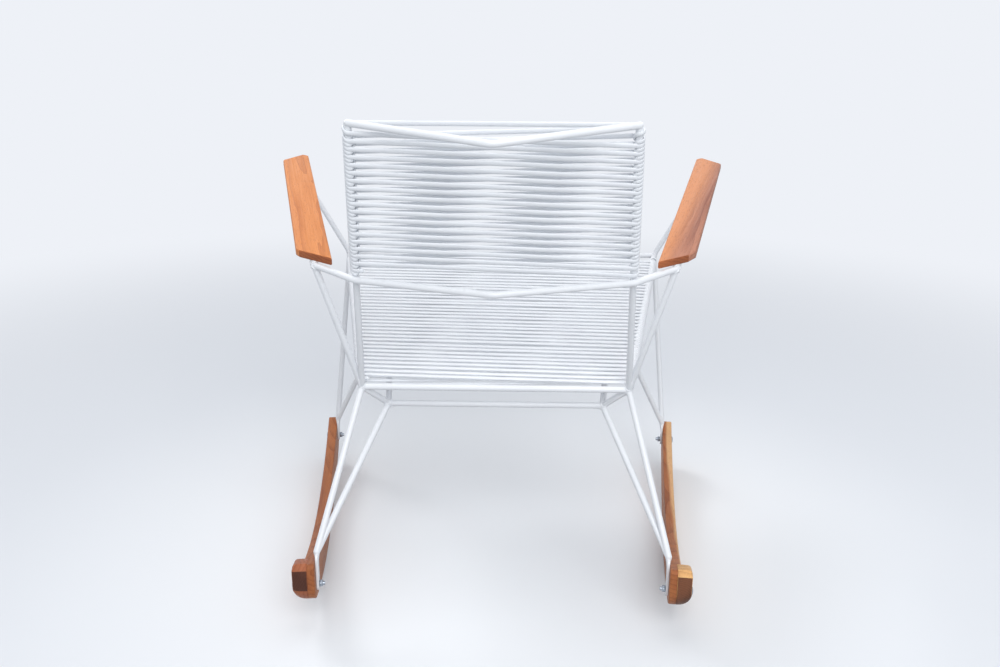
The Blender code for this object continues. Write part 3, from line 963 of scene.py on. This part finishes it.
            # This side's joints: seat rear and front, back top, lower frame, arm.
            r, f, t = side.flip(rear), side.flip(front), side.flip(top)
            lr, lf = side.flip(low_rear), side.flip(low_front)
            ar, af, behind = side.flip(arm_rear), side.flip(arm_front), side.flip(crossing)
            rear_foot, front_foot = size.foot_top(side, End.REAR), size.foot_top(side, End.FRONT)
            above = t + (t - r).normalized() * size.rail_over
            across = size.plank(side)[0].to_3x3() @ Vector((0, 1, 0))
            rods = (
                ("front_post_", [af, f, front_foot], across),
                ("seat_rail_", [r, f], None),
                ("back_rail_", [r, above], None),
                ("arm_rail_", [ar, af], None),
                ("arm_strut_", [ar, r], None),
                ("rear_outer_leg_", [r, rear_foot], across),
                ("lower_side_bar_", [lr, lf], None),
                ("rear_strut_", [r, lr], None),
                ("rear_inner_leg_", [lr, rear_foot], across),
                ("front_inner_leg_", [lf, front_foot], across),
            )
            for node, points, flat_side in rods:
                self.rod(node + side.tag, points, flat_side)
            welds = (
                (r, on_middle(r), t), (r, f, t), (r, ar, t), (r, rear_foot, t), (r, lr, f),
                (lr, on_middle(lr), r), (lr, rear_foot, r), (lr, lf, r),
                (lf, front_foot, lr), (lf, on_middle(lf), lr),
                (ar, r, behind), (ar, af, behind),
                (f, r, af), (f, on_middle(f), af), (af, ar, f),
            )
            for joint, own, other in welds:
                self.weld(joint, own, other)
        self.beads()


# Wooden pieces


@dataclass
class Armrest:
    """One arm board: slanted ends, rounded edges, an oiled face."""

    layout: Layout
    side: Side
    face: WoodFinish
    ends: WoodFinish
    width: float = 0.049
    cut: float = 0.023
    clip: tuple[float, float] = (0.019, 0.0215)
    rear_clip: tuple[float, float] = (0.0195, 0.009)
    rear_clip_at: dict[Side, float] = field(default_factory=lambda: {Side.RIGHT: 0.011, Side.LEFT: 0.005})
    edge_r: float = 0.0028
    edge_steps: int = 4
    end_tilt: float = 0.55

    def build(self, effects: SharedEffects) -> None:
        """Models the board flat, then sets it on its rod.

        Args:
            effects: The shared node groups.
        """
        rear = self.layout.at(self.layout.arm_rear, self.side)
        front = self.layout.at(self.layout.arm_front, self.side)
        along = (front - rear).normalized()
        across = along.cross(UP).normalized() * self.side.value
        length, half = (front - rear).length, self.width / 2
        clear_selection()
        bpy.ops.mesh.primitive_plane_add(size=1.0, location=(length / 2, 0, 0))
        obj = bpy.context.object
        obj.scale = (length + 2 * self.cut, self.width, 1)
        bpy.ops.object.transform_apply(location=True, rotation=True, scale=True)
        slant = Vector((self.width, -2 * self.cut, 0))
        inner = Vector((length + self.cut - self.clip[0], -half, 0))
        outer = Vector((self.cut + self.rear_clip_at[self.side], half, 0))
        trims = (
            (Vector((0, 0, 0)), Vector((-slant.x, -slant.y, 0))),
            (Vector((length, 0, 0)), Vector((slant.x, -slant.y, 0))),
            (inner, Vector((self.clip[1], -self.clip[0], 0))),
            (outer, Vector((-self.rear_clip[1], self.rear_clip[0], 0))),
        )
        for spot, outward in trims:
            edit_all(obj)
            bpy.ops.mesh.bisect(plane_co=spot, plane_no=outward.normalized(), clear_outer=True)
        edit_all(obj)
        bpy.ops.mesh.extrude_region_move(TRANSFORM_OT_translate={"value": (0, 0, -self.layout.arm_t)})
        bpy.ops.object.mode_set(mode="OBJECT")
        soften(obj, self.edge_r, self.edge_steps)
        settle(obj, "arm_board_" + self.side.tag, axes_frame(along, across, UP, rear))
        level = UP.cross(along).normalized()
        board = axes_frame(along, level, along.cross(level), rear)
        dress(obj, self.face.material(effects, board), self.ends.material(effects, board))
        for polygon in obj.data.polygons:
            tilt = abs(polygon.normal.dot(along))
            polygon.material_index = (Cut.ACROSS if tilt > self.end_tilt else Cut.LONG).value
        place_piece(obj, "arm_wood", "armrest_" + self.side.tag)


@dataclass
class Rocker:
    """One curved plank and the short block let into the outer face of its rear end."""

    layout: Layout
    side: Side
    face: WoodFinish
    block: WoodFinish
    ends: WoodFinish
    steps: int = 60
    corner_steps: int = 7
    end_round: float = 0.010
    rear_under: float = 0.024
    edge_r: float = 0.0022
    edge_steps: int = 3
    heel_under: float = 0.018
    heel_over: float = 0.006
    heel_levels: int = 7
    heel_edge_steps: int = 2
    heel_angle: float = 50.0
    end_tilt: float = 0.97
    under_tilt: float = 0.15

    @property
    def dark_downward_faces(self) -> bool:
        """Whether the block's downward-facing faces take the dark end-grain finish."""
        return self.side is Side.RIGHT

    def outline(self, length: float, front: bool) -> list[tuple[float, float]]:
        """Side outline of the plank, or of its rear stretch.

        Args:
            length: Distance from the rear end to the other end.
            front: Whether the other end is the plank's own, with rounded corners.

        Returns:
            Distance along the plank and height of each point, from the rear face under and back.
        """
        tall, under, nose = self.layout.plank_h, self.rear_under, self.end_round
        stop = length - (nose if front else 0.0)
        turns = [math.pi / 2 * k / self.corner_steps for k in range(self.corner_steps + 1)]
        count = max(2, round(self.steps * (stop - under) / self.layout.plank(Side.RIGHT)[1]))
        shape = [(under * (1 - math.cos(a)), under * (1 - math.sin(a))) for a in turns]
        shape += [(under + (stop - under) * k / count, 0.0) for k in range(1, count)]
        if front:
            shape += [(stop + nose * math.sin(a), nose * (1 - math.cos(a))) for a in turns]
            shape += [(stop + nose * math.cos(a), tall - nose * (1 - math.sin(a))) for a in turns]
        else:
            shape += [(length, 0.0), (length, tall)]
        shape += [(stop + (nose - stop) * k / count, tall) for k in range(1, count)]
        if front:
            shape += [(nose * (1 - math.sin(a)), tall - nose * (1 - math.cos(a))) for a in turns]
        else:
            shape += [(nose, tall), (0.0, tall - nose)]
        return [(s, z + self.layout.tread(s) - self.layout.plank_below) for s, z in shape]

    def slab(self, shape: list[tuple[float, float]], levels: list[float]) -> bpy.types.Object:
        """A slab with a side outline, drawn out through levels across the plank.

        Args:
            shape: The side outline.
            levels: Distances outward from the plank's middle.

        Returns:
            The slab in the plank's own frame.
        """
        clear_selection()
        bpy.ops.mesh.primitive_circle_add(vertices=len(shape), radius=1.0, fill_type="NGON")
        obj = bpy.context.object
        for vert, (s, z) in zip(obj.data.vertices, shape):
            vert.co = (s, levels[0], z)
        edit_all(obj)
        for before, level in zip(levels, levels[1:]):
            bpy.ops.mesh.extrude_region_move(TRANSFORM_OT_translate={"value": (0, level - before, 0)})
        bpy.ops.object.mode_set(mode="OBJECT")
        return obj

    def round_rims(self, heel: bpy.types.Object, outer: float) -> None:
        """Draws in the lower and upper rims of the block's outer face.

        Args:
            heel: The block in the plank's own frame.
            outer: The outer face's distance from the plank's middle.
        """
        tall = self.layout.plank_h
        for vert in heel.data.vertices:
            height = vert.co.z - self.layout.tread(vert.co.x) + self.layout.plank_below
            inside = max(outer - vert.co.y, 0.0)
            rims = (self.heel_under, self.heel_over)
            rise, fall = (r - math.sqrt(r**2 - max(r - inside, 0.0) ** 2) for r in rims)
            vert.co.z += rise * max(1 - height / self.rear_under, 0.0)
            vert.co.z -= fall * max(1 - (tall - height) / self.end_round, 0.0)

    def rebate(self, plank: bpy.types.Object) -> None:
        """Cuts the step in the plank's outer face that the block sits in.

        Args:
            plank: The plank in its own frame.
        """
        size = self.layout
        deep, tall = size.plank_t, 4 * size.plank_h
        clear_selection()
        middle = (0, (size.plank_t + deep) / 2 - size.heel_sink, 0)
        bpy.ops.mesh.primitive_cube_add(size=1.0, location=middle)
        tool = bpy.context.object
        tool.scale = (2 * (size.heel_l + size.gap), deep, tall)
        bpy.ops.object.transform_apply(location=True, rotation=True, scale=True)
        step = plank.modifiers.new("rebate", "BOOLEAN")
        step.operation = "DIFFERENCE"
        step.solver = "EXACT"
        step.object = tool
        select_only(plank)
        bpy.ops.object.modifier_apply(modifier=step.name)
        bpy.data.objects.remove(tool, do_unlink=True)

    def build(self, effects: SharedEffects) -> None:
        """Models the plank and its block.

        Args:
            effects: The shared node groups.
        """
        place, length = self.layout.plank(self.side)
        along = place.to_3x3() @ Vector((1, 0, 0))
        outward = place.to_3x3() @ Vector((0, 1, 0))
        board = axes_frame(along, outward, along.cross(outward), place.translation)
        size = self.layout
        plank = self.slab(self.outline(length, True), [-size.plank_t / 2, size.plank_t / 2])
        soften(plank, self.edge_r, self.edge_steps)
        self.rebate(plank)
        settle(plank, "plank_" + self.side.tag, place)
        dress(plank, self.face.material(effects, board))
        place_piece(plank, "rocker_wood", "rocker_" + self.side.tag)
        inner = size.plank_t / 2 - size.heel_sink + size.gap
        outer = inner + size.heel_t
        levels = [inner]
        for k in range(self.heel_levels + 1):
            levels.append(outer - self.heel_under * (1 - math.sin(math.pi / 2 * k / self.heel_levels)))
        heel = self.slab(self.outline(size.heel_l, False), levels)
        self.round_rims(heel, outer)
        soften(heel, self.edge_r / 2, self.heel_edge_steps, self.heel_angle)
        settle(heel, "heel_block_" + self.side.tag, place)
        dress(heel, self.block.material(effects, board), self.ends.material(effects, board))
        for polygon in heel.data.polygons:
            tilt = -polygon.normal.dot(along)
            # On the right block, faces that point downward take the darker end-grain finish, as well as the
            # rear end face.
            below = self.dark_downward_faces and polygon.normal.z < -self.under_tilt
            across = tilt > self.end_tilt or below
            polygon.material_index = (Cut.ACROSS if across else Cut.LONG).value
        place_piece(heel, "heel_wood", "rocker_heel_" + self.side.tag)


# Feet and fasteners


@dataclass
class Foot:
    """One flat strap under a pair of legs, with its bolt and nut."""

    layout: Layout
    side: Side
    end: End
    paint: bpy.types.Material
    zinc: bpy.types.Material
    bolt_r: float = 0.003
    head_r: float = 0.007
    head_t: float = 0.0035
    nut_flats: float = 0.010
    nut_t: float = 0.005
    bolt_out: float = 0.0035
    tip_cut: float = 0.0006
    head_rim: float = 0.35
    head_steps: int = 5
    turn_steps: int = 24
    strap_round: float = 0.48
    strap_steps: int = 6
    strap_edge: float = 0.0006
    nut_edge: float = 0.0007
    nut_rim: float = 0.0011
    nut_dish: float = 0.0006
    nut_face: float = 2e-5
    nut_facing: float = 0.99
    nut_smooth: float = 30.0
    sharp: float = 50.0

    def strap(self, place: Matrix, s: float, low: float) -> None:
        """A bar with round ends on the plank's inner face.

        Args:
            place: The plank's frame.
            s: The strap's distance along the plank.
            low: Its lower end's height.
        """
        tall, wide, thick = self.layout.foot_tall[self.end], self.layout.foot_w, self.layout.foot_t
        middle = (s, -(self.layout.plank_t + thick) / 2 - self.layout.gap, low + tall / 2)
        clear_selection()
        bpy.ops.mesh.primitive_cube_add(size=1.0, location=middle)
        obj = bpy.context.object
        obj.scale = (wide, thick, tall)
        bpy.ops.object.transform_apply(location=True, rotation=True, scale=True)
        bevel_edges(
            obj, wide * self.strap_round, self.strap_steps, lambda p, q: abs(p.y - q.y) > thick / 2
        )
        soften(obj, self.strap_edge, 2, self.sharp)
        name = f"{self.end.value}_foot_{self.side.tag}"
        settle(obj, "strap_" + name, place)
        dress(obj, self.paint)
        place_piece(obj, "frame_paint", name)

    def bolt(self, place: Matrix, s: float, z: float) -> None:
        """A round-headed bolt, turned from its profile.

        Args:
            place: The plank's frame.
            s: The bolt's distance along the plank.
            z: Its height.
        """
        size = self.layout
        half = size.plank_t / 2
        inner = half + size.foot_t + self.nut_t + self.bolt_out + 2 * size.gap
        outer = half + size.gap
        if self.end is End.REAR:
            outer += size.heel_t - size.heel_sink + size.gap
        tip, rim = self.tip_cut, self.head_rim
        profile = [(0, -inner), (self.bolt_r - tip, -inner), (self.bolt_r, -inner + tip)]
        profile += [(self.bolt_r, outer), (self.head_r, outer), (self.head_r, outer + rim * self.head_t)]
        for k in range(1, self.head_steps + 1):
            angle = math.pi / 2 * k / self.head_steps
            rise = self.head_t * (rim + (1 - rim) * math.sin(angle))
            profile.append((self.head_r * math.cos(angle), outer + rise))
        clear_selection()
        bpy.ops.mesh.primitive_circle_add(vertices=len(profile), radius=1.0, fill_type="NOTHING")
        obj = bpy.context.object
        for vert, (radius, reach) in zip(obj.data.vertices, profile):
            vert.co = (radius, reach, 0)
        last, first = len(profile) - 1, 0
        edit_all(obj)
        bpy.ops.mesh.select_mode(type="EDGE")
        bpy.ops.object.mode_set(mode="OBJECT")
        for edge in obj.data.edges:
            edge.select = set(edge.vertices) == {last, first}
        bpy.ops.object.mode_set(mode="EDIT")
        bpy.ops.mesh.delete(type="EDGE")
        bpy.ops.mesh.select_mode(type="VERT")
        bpy.ops.mesh.select_all(action="SELECT")
        bpy.ops.mesh.spin(steps=self.turn_steps, angle=2 * math.pi, center=(0, 0, 0), axis=(0, 1, 0))
        bpy.ops.object.mode_set(mode="OBJECT")
        name = f"{self.end.value}_bolt_{self.side.tag}"
        settle(obj, "fixing_" + name, place @ Matrix.Translation((s, 0, z)))
        dress(obj, self.zinc)
        place_piece(obj, "hardware", name)

    def nut(self, place: Matrix, s: float, z: float) -> None:
        """A hexagon nut with chamfered corners.

        Args:
            place: The plank's frame.
            s: The nut's distance along the plank.
            z: Its height.
        """
        inner = self.layout.plank_t / 2 + self.layout.foot_t + 2 * self.layout.gap
        clear_selection()
        bpy.ops.mesh.primitive_cylinder_add(
            vertices=6, radius=self.nut_flats / math.sqrt(3), depth=self.nut_t,
            location=(0, -inner - self.nut_t / 2, 0), rotation=(math.pi / 2, 0, 0),
        )
        obj = bpy.context.object
        bpy.ops.object.transform_apply(location=True, rotation=True, scale=True)
        soften(obj, self.nut_edge, 3, self.sharp)
        edit_all(obj)
        bpy.ops.mesh.select_mode(type="FACE")
        bpy.ops.mesh.select_all(action="DESELECT")
        bpy.ops.object.mode_set(mode="OBJECT")
        for polygon in obj.data.polygons:
            polygon.select = polygon.normal.y < -self.nut_facing and polygon.area > self.nut_face
        bpy.ops.object.mode_set(mode="EDIT")
        bpy.ops.mesh.inset(thickness=self.nut_rim)
        bpy.ops.mesh.extrude_region_move(TRANSFORM_OT_translate={"value": (0, self.nut_dish, 0)})
        bpy.ops.object.mode_set(mode="OBJECT")
        name = f"{self.end.value}_nut_{self.side.tag}"
        settle(obj, "fixing_" + name, place @ Matrix.Translation((s, 0, z)), self.nut_smooth)
        dress(obj, self.zinc)
        place_piece(obj, "hardware", name)

    def build(self) -> None:
        """Models the strap, the bolt and the nut."""
        place, s, low = self.layout.foot(self.side, self.end)
        self.strap(place, s, low)
        self.bolt(place, s, low + self.layout.bolt_up)
        self.nut(place, s, low + self.layout.bolt_up)


# Wound cord


@dataclass(frozen=True)
class CordPoint:
    """One point of a cord's line, and the cord's girth there beside that of a turn round a rail."""

    place: Vector
    girth: float = 1.0


@dataclass
class CordWinding:
    """One cord wound between two rails: slanted strands, and one and a half turns on each rail."""

    layout: Layout
    name: str
    low: Triple
    high: Triple
    first: float
    pitch: tuple[float, float]
    loops: int
    nodes: tuple[str, ...]
    level_start: float = 0.0
    slant: float = 1.31
    outer_quarter: dict[Side, float] = field(default_factory=lambda: {Side.RIGHT: -0.0975, Side.LEFT: 0.2875})
    inner_half: dict[Side, float] = field(default_factory=lambda: {Side.RIGHT: -1.305, Side.LEFT: -1.075})
    cord_r: float = 0.0015
    flat: float = 2.1
    turn_quarters: int = 6
    turn_points: int = 30
    strand_points: int = 9
    stray: float = 0.00035
    swell: float = 1.2
    swell_run: float = 0.014
    swell_steps: int = 3
    tail: float = 0.011
    tail_shares: Triple = (0.35, 0.7, 1.0)
    knot_points: int = 40
    knot_turn: int = 16
    knot_grow: int = 5
    knot_coil: float = 0.65
    knot_run: tuple[float, float] = (0.001, 0.008)
    seed: int = 5
    sides: int = 4

    def pitch_at(self, loop: int) -> float:
        """The distance from one loop to the next, which changes evenly along the rail."""
        return self.pitch[0] + (self.pitch[1] - self.pitch[0]) * loop / (self.loops - 1)

    def slip(self, side: Side, quarters: float, pitch: float) -> float:
        """How far the cord has moved along a rail after some quarter turns round it.

        Args:
            side: The rail's side.
            quarters: Quarter turns, of which the third and fourth pass the rail's inner side.
            pitch: The loop's pitch.

        Returns:
            The distance, downward.
        """
        inside = min(max((quarters - 2) / 2, 0.0), 1.0)
        outside = quarters - 2 * inside
        return pitch * (outside * self.outer_quarter[side] + ease(inside) * self.inner_half[side])

    def strand(self, a: Vector, b: Vector, normal: Vector, chance: np.random.RandomState) -> list[CordPoint]:
        """The points between two rails, a little off the straight line. The cord is fuller there.

        Args:
            a: Where the strand leaves a rail.
            b: Where it meets the other.
            normal: The plane's normal.
            chance: The source of unevenness.

        Returns:
            The points, without the two ends.
        """
        lift, slip = chance.normal(0, self.stray, 2)
        along = (Vector(self.low) - Vector(self.high)).normalized()
        run = self.swell_run / (b - a).length
        near = [run * k / self.swell_steps for k in range(1, self.swell_steps + 1)]
        middle = [k / self.strand_points for k in range(1, self.strand_points)]
        points = []
        for share in (*near, *middle, *(1 - k for k in reversed(near))):
            bow = math.sin(math.pi * share)
            full = min(1.0, share / run, (1 - share) / run)
            place = a.lerp(b, share) + normal * (lift * bow) + along * (slip * bow)
            points.append(CordPoint(place, 1 + (self.swell - 1) * ease(full)))
        return points

    def path(self) -> list[CordPoint]:
        """The cord's line from its first strand to its knot.

        Returns:
            The points.
        """
        low, high = self.layout.at(self.low), self.layout.at(self.high)
        out, normal = self.layout.plane_axes(self.low, self.high)
        along = (low - high).normalized()
        chance = np.random.RandomState(self.seed)
        radius = self.layout.rod_r + self.cord_r

        def spot(side: Side, s: float, angle: float) -> Vector:
            """A point round one rail."""
            round_rail = radius * (math.cos(angle) * out + math.sin(angle) * normal)
            return side.flip(high + along * s + round_rail)

        s = self.first
        points: list[CordPoint] = []
        if self.level_start:
            begin = spot(Side.RIGHT, self.level_start, -math.pi / 2)
            finish = spot(Side.LEFT, self.level_start, -math.pi / 2)
            points += [CordPoint(begin), *self.strand(begin, finish, normal, chance)]
            half = 2 * self.turn_points // self.turn_quarters
            for k in range(half):
                angle = -math.pi / 2 + math.pi * k / half
                down = self.level_start + (s - self.level_start) * k / half
                points.append(CordPoint(spot(Side.LEFT, down, angle)))
        points.append(CordPoint(spot(Side.LEFT, s, math.pi / 2)))
        for loop in range(self.loops):
            pitch = self.pitch_at(loop)
            for side in (Side.RIGHT, Side.LEFT):
                s += self.slant * pitch
                start = side.value * math.pi / 2
                points += self.strand(points[-1].place, spot(side, s, start), normal, chance)
                for k in range(self.turn_points + 1):
                    quarters = self.turn_quarters * k / self.turn_points
                    angle = start - side.value * quarters * math.pi / 2
                    points.append(CordPoint(spot(side, s + self.slip(side, quarters, pitch), angle)))
                s += self.slip(side, self.turn_quarters, pitch)
        return points

    def knot(self, end: Vector, inward: Vector) -> list[CordPoint]:
        """A stopper knot: the tail runs inward, and comes back over itself in turns.

        Args:
            end: Where the cord leaves the last rail.
            inward: The tail's direction.

        Returns:
            The points after the end.
        """
        tail = end + inward * self.tail
        points = [CordPoint(end.lerp(tail, share)) for share in self.tail_shares]
        beside = inward.cross(UP).normalized()
        above = beside.cross(inward)
        ahead, back = self.knot_run
        for k in range(1, self.knot_points):
            angle = 2 * math.pi * k / self.knot_turn
            coil = self.knot_coil * self.cord_r * min(1.0, k / self.knot_grow)
            ring = beside * math.sin(angle) + above * math.cos(angle)
            place = tail + inward * (ahead - back * k / self.knot_points) + ring * coil
            points.append(CordPoint(place))
        return points

    def build(self, cord: bpy.types.Material) -> None:
        """Models the cord as one tube, wider along the rails than it is thick.

        Args:
            cord: The cord's material.
        """
        points = self.path()
        points += self.knot(points[-1].place, Vector((1, 0, 0)))
        along = (Vector(self.low) - Vector(self.high)) * Vector((0, 1, 1))
        widen = Matrix.Scale(self.flat, 4, along.normalized())
        narrow = widen.inverted()
        line = np.array([narrow @ point.place for point in points])
        girth = np.array([point.girth for point in points])
        obj = swept(self.name, line, self.cord_r, self.sides, girth=girth)
        obj.data.transform(widen)
        dress(obj, cord)
        place_piece(obj, "cord", *self.nodes)


# Studio


@dataclass
class Lamp:
    """A soft square lamp that points at the chair."""

    name: str
    place: Triple
    side: float
    power: float
    aim: Triple = (0.0, 0.0, 0.35)

    def build(self) -> None:
        """Adds the lamp."""
        light = bpy.data.lights.new(self.name, "AREA")
        light.size = self.side
        light.energy = self.power
        obj = bpy.data.objects.new(self.name, light)
        obj.location = self.place
        facing = Vector(self.aim) - Vector(self.place)
        obj.rotation_euler = facing.to_track_quat("-Z", "Y").to_euler()
        bpy.context.scene.collection.objects.link(obj)


@dataclass
class SoftSun:
    """A distant light with a wide disc, so that its shadows are soft and the floor even."""

    name: str
    towards: Triple
    strength: float
    disc: float

    def build(self) -> None:
        """Adds the light."""
        light = bpy.data.lights.new(self.name, "SUN")
        light.energy = self.strength
        light.angle = math.radians(self.disc)
        obj = bpy.data.objects.new(self.name, light)
        obj.rotation_euler = (-Vector(self.towards)).to_track_quat("-Z", "Y").to_euler()
        bpy.context.scene.collection.objects.link(obj)


@dataclass
class Studio:
    """Pale floor with a sweep, soft lamps, and the camera behind the chair."""

    floor: bpy.types.Material
    half: float = 7.0
    sweep_y: float = 4.5
    sweep_r: float = 1.6
    sweep_steps: int = 16
    edge_slack: float = 1e-4
    wall: float = 3.0
    sky: Colour = (0.90, 0.94, 1.0)
    sky_level: float = 0.53
    backdrop: Colour = (0.855, 0.88, 0.93)
    camera_at: Triple = (0.0329, -1.6123, 0.909)
    yaw: float = -0.999
    pitch: float = 18.0
    roll: float = 0.370
    lens: float = 36.0
    sensor: float = 36.0

    def build_floor(self) -> None:
        """A sheet of paper on the floor that curves up far behind."""
        clear_selection()
        bpy.ops.mesh.primitive_plane_add(size=2 * self.half, location=(0, self.sweep_y - self.half, 0))
        obj = bpy.context.object
        bpy.ops.object.transform_apply(location=True, rotation=True, scale=True)
        far = self.sweep_y - self.edge_slack
        pick_edges(obj, lambda p, q: p.y > far and q.y > far)
        centre = (0, self.sweep_y, self.sweep_r)
        bpy.ops.mesh.spin(steps=self.sweep_steps, angle=-math.pi / 2, center=centre, axis=(1, 0, 0))
        bpy.ops.mesh.extrude_region_move(TRANSFORM_OT_translate={"value": (0, 0, self.wall)})
        bpy.ops.object.mode_set(mode="OBJECT")
        settle(obj, "floor")
        dress(obj, self.floor)

    def build_world(self) -> None:
        """Even light from all round, and a pale ground where the camera sees past the floor."""
        world = bpy.data.worlds.new("soft_room")
        world.use_nodes = True
        graph = Graph(world.node_tree)
        base = world.node_tree.nodes["Background"]
        base.inputs["Color"].default_value = (*self.sky, 1)
        base.inputs["Strength"].default_value = self.sky_level
        seen = graph.add("ShaderNodeBackground", {"Color": (*self.backdrop, 1), "Strength": 1.0})
        ray = graph.add("ShaderNodeLightPath")
        shown = graph.maths("MAXIMUM", ray.outputs["Is Camera Ray"], ray.outputs["Is Glossy Ray"])
        mix = graph.add("ShaderNodeMixShader", {0: shown, 1: base.outputs[0], 2: seen.outputs[0]})
        graph.tree.links.new(mix.outputs[0], world.node_tree.nodes["World Output"].inputs["Surface"])
        bpy.context.scene.world = world

    def build_camera(self) -> None:
        """The camera, from the angles that the photograph gives."""
        yaw, pitch, roll = (math.radians(a) for a in (self.yaw, self.pitch, self.roll))
        ahead = Vector((math.sin(yaw), math.cos(yaw), 0))
        level = Vector((math.cos(yaw), -math.sin(yaw), 0))
        forward = math.cos(pitch) * ahead - math.sin(pitch) * UP
        over = math.cos(pitch) * UP + math.sin(pitch) * ahead
        right = math.cos(roll) * level + math.sin(roll) * over
        top = math.cos(roll) * over - math.sin(roll) * level
        camera = bpy.data.cameras.new("camera")
        camera.lens = self.lens
        camera.sensor_width = self.sensor
        obj = bpy.data.objects.new("camera", camera)
        obj.matrix_world = axes_frame(right, top, -forward, Vector(self.camera_at))
        bpy.context.scene.collection.objects.link(obj)
        bpy.context.scene.camera = obj

    def build(self) -> None:
        """Sets the whole studio up."""
        self.build_floor()
        self.build_world()
        Lamp("front_lamp", (0.85, -4.3, 3.5), side=4.0, power=172.0).build()
        Lamp("top_lamp", (0.0, 0.3, 3.3), side=2.4, power=20.0).build()
        SoftSun("key_light", (-2.2, 2.4, 2.9), strength=0.60, disc=18.0).build()
        self.build_camera()
        bpy.context.scene.view_settings.view_transform = "Standard"


def finishes() -> dict[str, SkinFinish | WoodFinish]:
    """The chair's finishes.

    Returns:
        Finish by name.
    """
    arm_deep, arm_sap = (0.42, 0.105, 0.028), (0.80, 0.42, 0.18)
    end_pale, end_deep = (0.52, 0.165, 0.06), (0.17, 0.045, 0.02)
    plank_deep, plank_sap = (0.22, 0.062, 0.026), (0.78, 0.47, 0.235)
    made = {
        "paint": SkinFinish(
            "white_paint", (0.865, 0.885, 0.915), (0.84, 0.86, 0.895), cloud=9.0, ripple=900.0,
            gloss=(0.30, 0.42), depth=0.00003, coat=0.15,
        ),
        "cord": SkinFinish(
            "white_cord", (0.865, 0.89, 0.925), (0.83, 0.85, 0.89), cloud=22.0, ripple=1500.0,
            gloss=(0.34, 0.46), depth=0.00002,
        ),
        "arm_l": WoodFinish(
            "arm_wood_l", (0.90, 0.35, 0.115), arm_deep, arm_sap,
            ring=0.007, figure=0.20, pith=(0.3, 0.02, -0.09),
        ),
        "arm_r": WoodFinish(
            "arm_wood_r", (0.60, 0.27, 0.17), (0.24, 0.08, 0.05), (0.80, 0.33, 0.145),
            ring=0.007, sap_line=-0.005, figure=0.45, pith=(1.7, -0.03, -0.08), skew=-2.6, sap_width=0.032,
        ),
        "plank_l": WoodFinish(
            "plank_wood_l", (0.54, 0.19, 0.065), plank_deep, plank_sap,
            ring=0.008, figure=0.4, pith=(0.6, 0.01, -0.1),
        ),
        "plank_r": WoodFinish(
            "plank_wood_r", (0.54, 0.195, 0.07), plank_deep, plank_sap,
            ring=0.008, sap_line=0.006, figure=0.4, pith=(2.1, 0.02, -0.1), skew=-1.0,
        ),
        "heel_l": WoodFinish("heel_wood_l", (0.50, 0.17, 0.08), plank_deep, plank_sap, figure=0.35),
        "heel_r": WoodFinish(
            "heel_wood_r", (0.95, 0.56, 0.23), (0.42, 0.17, 0.065), plank_sap,
            figure=0.3, pith=(0.4, 0.01, -0.05),
        ),
        "heel_end_l": WoodFinish(
            "heel_end_l", (0.14, 0.050, 0.030), (0.055, 0.020, 0.013), plank_sap, ring=0.0035, figure=0.4,
        ),
        "heel_end_r": WoodFinish(
            "heel_end_r", (0.26, 0.10, 0.05), (0.08, 0.035, 0.022), plank_sap, ring=0.0035, figure=0.5,
        ),
    }
    for side in Side:
        name = "arm_end_" + side.tag
        made[name] = WoodFinish(name, end_pale, end_deep, arm_sap, ring=0.004, figure=0.3)
    return made


def main() -> None:
    """Builds the chair's pieces in order, then the studio."""
    logging.basicConfig(level=logging.INFO, format="%(name)s %(message)s")
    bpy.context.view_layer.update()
    layout = Layout()
    effects = SharedEffects()
    looks = finishes()
    paint = looks["paint"].material(effects)
    cord = looks["cord"].material(effects)
    zinc = ZincFinish().material()
    RodFrame(layout, paint).build()
    for side in Side:
        tag = side.tag
        Armrest(layout, side, looks["arm_" + tag], looks["arm_end_" + tag]).build(effects)
        wood = (looks[part + tag] for part in ("plank_", "heel_", "heel_end_"))
        Rocker(layout, side, *wood).build(effects)
        for end in End:
            Foot(layout, side, end, paint, zinc).build()
    CordWinding(
        layout, "back_cord", layout.seat_rear, layout.back_top, first=0.0115, pitch=(0.0117, 0.0129),
        loops=18, nodes=("back_winding",), level_start=0.0035,
    ).build(cord)
    CordWinding(
        layout, "seat_cord", layout.seat_rear, layout.seat_front, first=0.030, pitch=(0.0131, 0.0131),
        loops=37, nodes=("seat_winding_front", "seat_winding_rear"), seed=11,
    ).build(cord)
    Studio(PaperFinish().material()).build()


if __name__ == "__main__":
    main()
